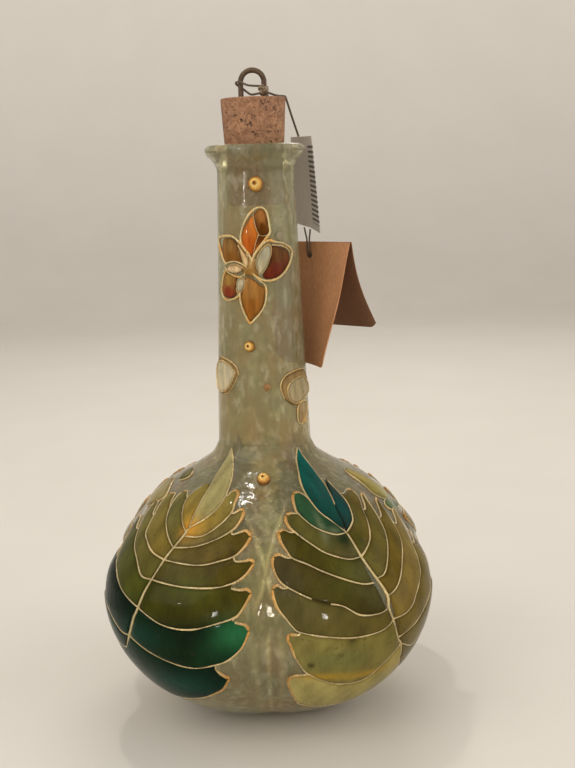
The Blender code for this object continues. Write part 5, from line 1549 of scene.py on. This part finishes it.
class CarafeTagSettings(bpy.types.PropertyGroup):
    ticket: colour_setting("Ticket", "the paper ticket", (206, 198, 190))
    ticket_shade: colour_setting("Ticket, shade", "the gaps between the paper's fibres", (150, 138, 128))
    ticket_bar: colour_setting("Ticket bars", "the plain bars on the ticket's strip", (70, 62, 60))
    kraft: colour_setting("Tag", "the brown card tag", (202, 144, 98))
    kraft_dark: colour_setting("Tag, fibres", "the fibres in the tag", (146, 98, 62))


class CarafeStageSettings(bpy.types.PropertyGroup):
    floor: colour_setting("Floor", "the floor and the backdrop", (222, 216, 207))
    floor_low: colour_setting("Floor, clouds", "faint clouds on the floor", (208, 201, 191))
    backdrop_glow: share_setting("Backdrop glow", "How much paler the backdrop looks than the floor", 0.35)
    sky: colour_setting("Room", "the light from all round", (242, 238, 231))
    room_light: light_setting("Room light", "Strength of the light from all round", 0.66)
    key_light: light_setting("Key light", "Power of the soft main light in watts", 7.0)
    glint_light: light_setting("Glint light", "Power in watts of the small light that makes glints", 0.9)


# Operators


class CARAFE_OT_stage(bpy.types.Operator):
    """Place the camera, the lights and the floor"""

    bl_idname = "carafe.stage"
    bl_label = "Stage"

    def execute(self, context):
        scene, settings = context.scene, context.scene.carafe_stage
        data = bpy.data.cameras.new("camera")
        data.sensor_fit = "VERTICAL"
        data.sensor_height = CAMERA_SENSOR
        data.lens = CAMERA_LENS
        camera = placed_in_scene("camera", data)
        place = Vector((math.sin(CAMERA_SIDE), -math.cos(CAMERA_SIDE), 0.0)) * CAMERA_DISTANCE
        place.z = CAMERA_HEIGHT
        turn = Matrix.Rotation(CAMERA_PAN, 4, "Z") @ Matrix.Rotation(CAMERA_PITCH, 4, "X")
        camera.matrix_world = Matrix.Translation(place) @ (turn @ Matrix.Rotation(CAMERA_ROLL, 4, "Z"))
        scene.camera = camera

        scene.world = bpy.data.worlds.new("room")
        scene.world.use_nodes = True
        backing = scene.world.node_tree.nodes["Background"]
        set_values(backing, Color=(*settings.sky, 1.0), Strength=settings.room_light)
        scene.view_settings.view_transform = "Standard"

        for name, at, size, source, share, spread, aim_height in LAMPS:
            light = bpy.data.lights.new(name, "AREA")
            light.energy = getattr(settings, source) * share
            light.size = size
            light.spread = math.radians(spread)
            light.color = LAMP_WARMTH
            lamp = placed_in_scene(name, light)
            lamp.location = at
            aim = Vector((0.0, 0.0, aim_height)) - Vector(at)
            lamp.rotation_euler = aim.to_track_quat("-Z", "Y").to_euler()
        floor = self.floor(settings)
        return {"FINISHED"}

    def floor(self, settings):
        """A floor that sweeps up into a backdrop far behind the carafe."""
        side = np.linspace(-FLOOR_HALF_WIDTH, FLOOR_HALF_WIDTH, 24)
        deep = [(place, 0.0) for place in FLOOR_ROWS]
        for turn in np.linspace(0, math.pi / 2, 13)[1:]:
            rise = SWEEP_RADIUS - SWEEP_RADIUS * math.cos(turn)
            deep.append((FLOOR_ROWS[-1] + SWEEP_RADIUS * math.sin(turn), rise))
        deep.append((FLOOR_ROWS[-1] + SWEEP_RADIUS, BACKDROP_TOP))
        points = [(x, y, z) for y, z in deep for x in side]
        columns = len(side)
        faces = [(r * columns + c, r * columns + c + 1, (r + 1) * columns + c + 1, (r + 1) * columns + c)
                 for r in range(len(deep) - 1) for c in range(columns - 1)]
        mesh = bpy.data.meshes.new("floor")
        mesh.from_pydata(points, [], faces)
        mesh.shade_smooth()
        mesh.materials.append(floor_finish(settings))
        return placed_in_scene("floor", mesh)


class CARAFE_OT_finishes(bpy.types.Operator):
    """Mix the materials that the pieces share"""

    bl_idname = "carafe.finishes"
    bl_label = "Finishes"

    def execute(self, context):
        scene = context.scene
        FINISHES["brushed"] = brushed_group()
        FINISHES["fibres"] = fibre_group()
        FINISHES["glass"] = glass_finish(scene.carafe_glass)
        streak = tuple(scene.carafe_ornament.streak)
        FINISHES["leaf"] = enamel_finish("leaf_enamel", streak, 0.5)
        FINISHES["petal"] = enamel_finish("petal_enamel", streak, 0.4)
        FINISHES["gold"] = gold_finish()
        stopper, tags = scene.carafe_stopper, scene.carafe_tags
        FINISHES["cork"] = cork_finish(stopper)
        FINISHES["wire"] = wire_finish(stopper)
        FINISHES["twine"] = fibre_finish("twine", stopper.twine, stopper.twine_dark, TWINE_FIBRES)
        FINISHES["knot"] = fibre_finish("twine_knot", stopper.knot, stopper.twine, TWINE_FIBRES)
        FINISHES["ticket"] = ticket_finish(tags)
        FINISHES["kraft"] = fibre_finish("kraft_card", tags.kraft, tags.kraft_dark, CARD_FIBRES)
        return {"FINISHED"}


class CARAFE_OT_twine(bpy.types.Operator):
    """Lay the twine round the loop and down to the ticket, its knot, and the twine that carries the tag"""

    bl_idname = "carafe.twine"
    bl_label = "Twine and knot"

    def execute(self, context):
        knot = self.knot()
        wound_twine = self.wound()

        route = stopper_twine_route()
        cord = twine_skin(route, TWINE_RADIUS).made("stopper_twine", FINISHES["twine"], "stopper", "twine")
        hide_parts("twine_round_leg", "twine_run")

        route = tag_twine_route()
        cord = twine_skin(route, STRAND_RADIUS, 0.0022).made("tag_twine", FINISHES["twine"], "tag", "twine")
        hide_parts("twine_strand_left", "twine_strand_right")
        return {"FINISHED"}

    def knot(self):
        """A tightened overhand knot: a trefoil, a little flattened."""
        t = full_turn(90)
        across, deep, up = np.sin(t) + 2 * np.sin(2 * t), -np.sin(3 * t), np.cos(t) - 2 * np.cos(2 * t)
        trefoil = knot_centre() + KNOT_SIZE * np.stack([0.95 * across, 1.15 * deep, 0.8 * up], axis=1)
        skin = Skin()
        rings = tube_rings(np.concatenate([trefoil, trefoil[:1]]), TWINE_RADIUS * KNOT_TIGHT, 12)[:-1]
        skin.grid(rings, PLAIN, ring=True, closed=True)
        knot = skin.made("knot", FINISHES["knot"], "stopper", "twine")
        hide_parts("twine_knot")
        return knot

    def wound(self):
        """Close turns of twine round the loop's right leg."""
        t = np.linspace(0.0, 1.0, 150)
        turn, wound = math.tau * WOUND_TURNS * t, WIRE_RADIUS + TWINE_RADIUS * WOUND_TIGHT
        rise = CORK_TOP + WOUND_FOOT + (WOUND_TURNS * WOUND_PITCH * TWINE_RADIUS) * t
        turns = np.stack([LOOP_REACH + wound * np.sin(turn), -wound * np.cos(turn), rise], axis=1)
        skin = twine_skin(turns, TWINE_RADIUS * WOUND_TIGHT)
        return skin.made("wound_twine", FINISHES["knot"], "stopper", "twine")


class CARAFE_OT_bottle(bpy.types.Operator):
    """Blow the lobed glass bottle"""

    bl_idname = "carafe.bottle"
    bl_label = "Glass bottle"

    def execute(self, context):
        pitch = math.tau / LOBES
        rising = pitch / 2 * (np.arange(HALF_LOBE_SIDES) / HALF_LOBE_SIDES) ** CREASE_CLOSER
        one = np.concatenate([rising, [pitch / 2], pitch - rising[:0:-1]])
        angles = np.concatenate([one + lobe * pitch for lobe in range(LOBES)])
        rings, colours = self.outside(angles)
        rings += self.mouth(angles) + self.inside(angles)
        plain = np.ones((len(rings) - len(colours), len(angles), 3))
        skin = Skin()
        numbers = skin.grid(np.array(rings), np.concatenate([np.array(colours), plain]), ring=True)
        skin.fan(numbers[0][:-1], (0.0, 0.0, 0.0), PLAIN)
        skin.fan(numbers[-1][:-1], (0.0, 0.0, FLOOR_THICKNESS), PLAIN)
        bottle = skin.made("bottle", FINISHES["glass"], "bottle", "sage_glass")
        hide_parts("glass_body")
        return {"FINISHED"}

    def outside(self, angles):
        """Rings of points up the outside, closest at the base, and the colour painted at each: painted shade
        for how deep the glass looks, and the crease bands.
        """
        belly, shoulder, neck, flare = OUTSIDE_ROWS
        heights = np.concatenate([
            BELLY_HEIGHT * (np.arange(belly) / belly) ** BASE_CLOSER,
            np.linspace(BELLY_HEIGHT, NECK_FOOT_HEIGHT, shoulder, endpoint=False),
            np.linspace(NECK_FOOT_HEIGHT, NECK_TOP_HEIGHT, neck, endpoint=False),
            np.linspace(NECK_TOP_HEIGHT, LIP_FOOT_HEIGHT, flare, endpoint=False),
        ])
        levels = np.array(GLASS_DEPTH_SHADE)
        rings, colours = [], []
        for z in heights:
            band, between = self.crease_bands(angles, z)
            rings.append(glass_point(angles, z) * (1 + BAND_RISE * band[:, None] * (1, 1, 0)))
            # Painted shade for how deep the glass looks at this height
            deep = np.array([np.interp(z, levels[:, 0], levels[:, i]) for i in (1, 2, 3)])
            colours.append(deep * (1 + BAND_PALER * band[:, None] - BETWEEN_DARKER * between[:, None]))
        return rings, colours

    def mouth(self, angles):
        """The rolled lip, and the seat that the cork tapers into."""
        roll, roll_height = LIP_RADIUS - LIP_ROLL_RADIUS, GLASS_HEIGHT - LIP_ROLL_RADIUS
        rings = [round_point(angles, roll + LIP_ROLL_RADIUS * math.cos(turn),
                             roll_height + LIP_ROLL_RADIUS * math.sin(turn))
                 for turn in np.radians(np.linspace(-48.0, 90.0, 14))]
        heights = np.linspace(GLASS_HEIGHT - MOUTH_EDGE, SEAT_FOOT_HEIGHT, 6)
        seat = [(cork_radius(z) + CORK_GAP, z) for z in heights]
        rings.append(round_point(angles, seat[0][0] + MOUTH_EDGE, GLASS_HEIGHT - MOUTH_EDGE / 6))
        return rings + [round_point(angles, radius, z) for radius, z in seat]

    def inside(self, angles):
        """The inner surface, a wall's thickness in from the outer one, down to the flat inner floor."""
        neck, shoulder, belly = INSIDE_ROWS
        heights = np.concatenate([
            np.linspace(SEAT_FOOT_HEIGHT - BORE_BLEND, NECK_FOOT_HEIGHT, neck, endpoint=False),
            np.linspace(NECK_FOOT_HEIGHT, BELLY_HEIGHT, shoulder, endpoint=False),
            np.linspace(BELLY_HEIGHT, FLOOR_THICKNESS - 0.001, belly),
        ])
        rings = []
        for z in heights:
            lean = (np.interp(z + 0.0005, HEIGHTS, WIDTHS) - np.interp(z - 0.0005, HEIGHTS, WIDTHS)) / 0.001
            tilt = 1 / math.hypot(1.0, lean)
            rings.append(round_point(angles, bottle_radius(angles, z, WALL * tilt), z + WALL * lean * tilt))
        return rings + [rings[-1] * (0.6, 0.6, 0.0) + (0.0, 0.0, FLOOR_THICKNESS)]

    def crease_bands(self, angles, z):
        """How much of a pale band, and of the darker glass between two bands, lies at each angle."""
        heights, degrees, strengths = np.array(CREASE_BANDS[::-1]).T
        pitch = math.tau / LOBES
        beside = np.abs(np.mod(angles + pitch / 2, pitch) - pitch / 2)
        radius = bottle_radius(angles, z)

        def near(middle, width):
            return np.exp(-((beside - middle) * radius / width) ** 2)

        spread = math.radians(np.interp(z * 1000, heights, degrees))
        strength = np.interp(z * 1000, heights, strengths, left=0.0, right=0.0)
        between = np.where(beside < spread, strength * (z < BANDS_MEET), 0.0)
        between = between * (1 - near(spread, BETWEEN_EDGE))
        band = strength * near(spread, BAND_WIDTH)
        foot = np.clip((FOOT_BAND_TOP - z) / FOOT_BAND_FADE, 0, 1) * np.clip(z / FOOT_BAND_START, 0, 1)
        for middle, share, width in FOOT_BANDS:
            band = band + share * foot * near(math.radians(middle), width)
        return band, between


class CARAFE_OT_leaves(bpy.types.Operator):
    """Paint the four raised leaves, one on each lobe"""

    bl_idname = "carafe.leaves"
    bl_label = "Leaves"

    def execute(self, context):
        for side in ("left", "right"):
            for behind in (False, True):
                painted_leaf(side, behind, context.scene.carafe_ornament.line_width)
        return {"FINISHED"}


class CARAFE_OT_flower(bpy.types.Operator):
    """Paint the flower on the neck and the two buds under it"""

    bl_idname = "carafe.flower"
    bl_label = "Flower and buds"

    def execute(self, context):
        width = context.scene.carafe_ornament.flower_line
        rng = random_numbers(31)
        radius = float(bottle_radius(np.array(FLOWER_ANGLE), np.array(FLOWER_HEIGHT)))
        panes = []
        for kind, outline, low_paint, high_paint in FLOWER_PANES:
            points = np.array(outline) / 1000
            placed = np.stack([FLOWER_ANGLE + points[:, 0] / radius, FLOWER_HEIGHT + points[:, 1]], axis=1)
            panes.append((kind, placed, low_paint, high_paint))
        free = [(share, np.array(line) / (1000 * radius, 1000) + (FLOWER_ANGLE, FLOWER_HEIGHT))
                for share, line in FLOWER_LINES]
        pane_group("flower", panes, "flower_relief", rng, width, free)
        for name, found in BUD_PANES.items():
            panes = [(kind, rounded(outline), low, high) for kind, outline, low, high in found]
            free = [(BUD_LINE_SHARE, rounded(line)) for line in BUD_LINES[name]]
            pane_group(name, panes, name, rng, width, free)
        return {"FINISHED"}


class CARAFE_OT_dots(bpy.types.Operator):
    """Drop the gold dots and the small touches on the neck"""

    bl_idname = "carafe.dots"
    bl_label = "Dots"

    def execute(self, context):
        # The dots' tints carry painted shade and a painted highlight
        tints = [paint(*tint) for tint in DOT_TINTS]
        for name, degrees, z, radius in DOTS:
            made = bead(f"{name}_bead", degrees, z, radius, DOT_PROFILE, FINISHES["gold"], tints)
            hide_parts(name)
        for name, degrees, z, radius, tint in TOUCHES:
            bead(name, degrees, z, radius, TOUCH_PROFILE, FINISHES["petal"], [paint(*tint)] * 2)
        return {"FINISHED"}


class CARAFE_OT_cork(bpy.types.Operator):
    """Turn the cork"""

    bl_idname = "carafe.cork"
    bl_label = "Cork"

    def execute(self, context):
        bottom = CORK_TOP - CORK_LENGTH
        turns = full_turn(144)
        profile = [(CORK_BOTTOM_RADIUS - CORK_CHAMFER, bottom)]
        profile += [(cork_radius(z), z) for z in np.linspace(bottom + CORK_ROUND, CORK_TOP - CORK_ROUND, 110)]
        profile += [(CORK_TOP_RADIUS - CORK_ROUND, CORK_TOP)]
        radii, zs = np.array(profile).T[:, :, None] * np.ones(len(turns))
        skin = Skin()
        numbers = skin.grid(round_point(turns[None, :], radii - self.pitted(turns, zs), zs), GREY, ring=True)
        rings = [numbers[-1]]
        for share in (0.85, 0.6, 0.35):
            height = CORK_TOP + 0.00004 * np.sin(turns * 5 + share * 30)
            ring = round_point(turns, (CORK_TOP_RADIUS - CORK_ROUND) * share, height)
            rings.append(skin.grid(ring[None], GREY, ring=True)[0])
        for a, b in zip(rings, rings[1:]):
            skin.faces += [(int(a[i]), int(a[i + 1]), int(b[i + 1]), int(b[i])) for i in range(len(a) - 1)]
        skin.fan(rings[-1][:-1], (0.0, 0.0, CORK_TOP), GREY)
        skin.fan(numbers[0][:-1], (0.0, 0.0, bottom), GREY)
        cork = skin.made("cork", FINISHES["cork"], "stopper", "cork")
        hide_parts("cork_stopper")
        return {"FINISHED"}

    def pitted(self, turns, zs):
        """How deep the pits are at each point of the cork's side."""
        rng = random_numbers(7)
        depth = np.zeros_like(zs)
        for _ in range(CORK_PITS):
            angle, z = rng.uniform(0, math.tau), rng.uniform(CORK_TOP - CORK_LENGTH, CORK_TOP)
            wide, deep = rng.uniform(0.0002, 0.0006), rng.uniform(0.0002, 0.0007)
            side = (np.mod(turns[None, :] - angle + math.pi, math.tau) - math.pi) * CORK_GIRTH
            reach = (side / wide) ** 2 + ((zs - z) / (wide * PIT_STRETCH)) ** 2
            depth = np.maximum(depth, deep * np.exp(-reach))
        return depth


class CARAFE_OT_loop(bpy.types.Operator):
    """Bend the bronze wire loop in the cork"""

    bl_idname = "carafe.loop"
    bl_label = "Wire loop"

    def execute(self, context):
        centre = CORK_TOP + LOOP_RISE - LOOP_HALF_WIDTH
        foot = CORK_TOP - LOOP_LEG_DEPTH
        line = [(-LOOP_REACH, 0.0, foot), (-LOOP_REACH, 0.0, (foot + centre) / 2)]
        for turn in np.radians(np.linspace(180, 0, 15)):
            line.append((LOOP_REACH * math.cos(turn), 0.0, centre + LOOP_REACH * math.sin(turn)))
        line += [(LOOP_REACH, 0.0, (foot + centre) / 2), (LOOP_REACH, 0.0, foot)]
        line = smooth_line(line, spacing=0.0005)
        rng = random_numbers(3)
        places = np.arange(0, len(line) + 6, 6)
        dents = np.interp(np.arange(len(line)), places, rng.normal(0, 1, len(places)))
        skin = Skin()
        tube_skin(skin, line, WIRE_RADIUS * (1 + 0.02 * dents), 20, GREY)
        loop = skin.made("loop", FINISHES["wire"], "stopper", "bronze_wire")
        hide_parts("wire_loop")
        return {"FINISHED"}


class CARAFE_OT_ticket(bpy.types.Operator):
    """Hang the paper ticket"""

    bl_idname = "carafe.ticket"
    bl_label = "Ticket"

    def execute(self, context):
        settings = context.scene.carafe_tags
        acrosses = np.concatenate([
            np.linspace(TICKET_FOLD - TICKET_MAIN_WIDTH, TICKET_FOLD, 18),
            np.linspace(TICKET_FOLD, TICKET_FOLD + TICKET_STRIP_WIDTH, 15)[1:],
        ])
        low = TICKET_TOP_HEIGHT - TICKET_LENGTH
        top = np.array([ticket_point(TICKET_TOP, a, TICKET_TOP_HEIGHT) for a in acrosses])
        bottom = np.array([ticket_point(TICKET_BOTTOM, a, low) for a in acrosses])
        face, _ = hung(top, bottom, TICKET_ROWS)
        colours = np.broadcast_to(np.array(settings.ticket), face.shape).copy()
        rows = np.arange(TICKET_ROWS)
        bar = ((rows % (2 * BAR_ROWS)) < BAR_ROWS) & (rows >= BAR_MARGIN) & (rows < TICKET_ROWS - BAR_MARGIN)
        colours[np.ix_(bar, acrosses > TICKET_FOLD + BAR_GAP)] = np.array(settings.ticket_bar)
        skin = card_skin(face, CARD_THICKNESS * TICKET_THINNER, colours, colours)
        ticket = skin.made("ticket", FINISHES["ticket"], "ticket", "white_card", CARD_SHARP)
        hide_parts("price_ticket")
        return {"FINISHED"}


class CARAFE_OT_tag(bpy.types.Operator):
    """Hang the folded brown card tag"""

    bl_idname = "carafe.tag"
    bl_label = "Card tag"

    def execute(self, context):
        self.front()
        self.back()
        return {"FINISHED"}

    def front(self):
        """The front leaf, curled round the neck at its foot, with the hole for the twine."""
        middle, spread, gap, flare = TAG_CURL
        shares = np.linspace(-0.5, 0.5, 61)
        top = tag_fold(shares)
        turns = np.radians(middle - spread * shares)
        foot = top[:, 2] - TAG_FRONT_LENGTH + cut_corners(shares, TAG_CORNER, 0.24)
        face, t = hung(top, round_point(turns, LIP_RADIUS + gap + flare * shares**2, foot), 46)
        bow = TAG_BOW * np.sin(math.pi * t) + TAG_WAVE * np.sin(9 * t + 7 * shares[None, :, None])
        skin = card_skin(face + unit(face * (1, 1, 0)) * bow, CARD_THICKNESS, PLAIN, PLAIN)
        tag = skin.made("tag_front", FINISHES["kraft"], "tag", "kraft_card", CARD_SHARP)
        self.punch(tag)
        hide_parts("hang_tag_front")

    def punch(self, tag):
        """Cut the round hole for the twine."""
        cutter_mesh = bmesh.new()
        way = Vector(TAG_OUTWARD).to_track_quat("Z", "Y").to_matrix().to_4x4()
        bmesh.ops.create_cone(cutter_mesh, cap_ends=True, segments=28, radius1=TAG_HOLE_RADIUS,
                              radius2=TAG_HOLE_RADIUS, depth=PUNCH_LENGTH,
                              matrix=Matrix.Translation(Vector(tag_hole())) @ way)
        data = bpy.data.meshes.new("punch")
        cutter_mesh.to_mesh(data)
        cutter_mesh.free()
        cutter = placed_in_scene("punch", data)
        cut = tag.modifiers.new("hole", "BOOLEAN")
        cut.operation, cut.object, cut.solver = "DIFFERENCE", cutter, "EXACT"
        bpy.context.view_layer.update()
        cut_mesh = bpy.data.meshes.new_from_object(tag.evaluated_get(bpy.context.evaluated_depsgraph_get()))
        tag.modifiers.clear()
        tag.data = cut_mesh
        bpy.data.objects.remove(cutter, do_unlink=True)

    def back(self):
        """The back leaf, which hangs away from the neck."""
        shares = np.linspace(-0.5, 0.5, 41)
        top = tag_fold(shares) + TAG_OUTWARD * (CARD_THICKNESS + TAG_FOLD_GAP)
        reach = TAG_BACK_REACH * (1.0 + TAG_BACK_FLARE * np.maximum(-shares, 0.0))
        bottom = top + TAG_OUTWARD * reach[:, None]
        bottom[:, 2] += cut_corners(shares, TAG_CORNER * 0.5, 0.14) - TAG_BACK_DROP
        face, t = hung(top, bottom, 32)
        face = face - unit(face * (1, 1, 0)) * TAG_BACK_BOW * np.sin(math.pi * t)
        # One face of the back leaf carries painted shade
        skin = card_skin(face, CARD_THICKNESS, CARD_INSIDE_SHADE, PLAIN)
        tag = skin.made("tag_back", FINISHES["kraft"], "tag_back", "kraft_card", CARD_SHARP)
        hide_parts("hang_tag_back")


class CARAFE_PT_panel(bpy.types.Panel):
    """The carafe's pieces and settings"""

    bl_idname = "CARAFE_PT_panel"
    bl_label = "Carafe"
    bl_space_type = "VIEW_3D"
    bl_region_type = "UI"
    bl_category = "Carafe"

    def draw(self, context):
        layout = self.layout
        for operator in OPERATORS:
            layout.operator(operator.bl_idname)
        for label, attribute, settings in SETTINGS:
            layout.label(text=label)
            held = getattr(context.scene, attribute)
            for name in settings.__annotations__:
                layout.prop(held, name)


OPERATORS = (
    CARAFE_OT_stage, CARAFE_OT_finishes, CARAFE_OT_twine, CARAFE_OT_bottle, CARAFE_OT_leaves,
    CARAFE_OT_flower, CARAFE_OT_dots, CARAFE_OT_cork, CARAFE_OT_loop, CARAFE_OT_ticket, CARAFE_OT_tag,
)
SETTINGS = (
    ("Glass", "carafe_glass", CarafeGlassSettings),
    ("Ornament", "carafe_ornament", CarafeOrnamentSettings),
    ("Stopper", "carafe_stopper", CarafeStopperSettings),
    ("Tags", "carafe_tags", CarafeTagSettings),
    ("Stage", "carafe_stage", CarafeStageSettings),
)


def register():
    for _, attribute, settings in SETTINGS:
        bpy.utils.register_class(settings)
        setattr(bpy.types.Scene, attribute, bpy.props.PointerProperty(type=settings))
    for operator in OPERATORS:
        bpy.utils.register_class(operator)
    bpy.utils.register_class(CARAFE_PT_panel)


def unregister():
    bpy.utils.unregister_class(CARAFE_PT_panel)
    for operator in reversed(OPERATORS):
        bpy.utils.unregister_class(operator)
    for _, attribute, settings in reversed(SETTINGS):
        delattr(bpy.types.Scene, attribute)
        bpy.utils.unregister_class(settings)


def main():
    register()
    bpy.ops.carafe.stage()
    bpy.ops.carafe.finishes()
    bpy.ops.carafe.twine()
    bpy.ops.carafe.bottle()
    bpy.ops.carafe.leaves()
    bpy.ops.carafe.flower()
    bpy.ops.carafe.dots()
    bpy.ops.carafe.cork()
    bpy.ops.carafe.loop()
    bpy.ops.carafe.ticket()
    bpy.ops.carafe.tag()
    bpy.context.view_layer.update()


if __name__ == "__main__":
    main()
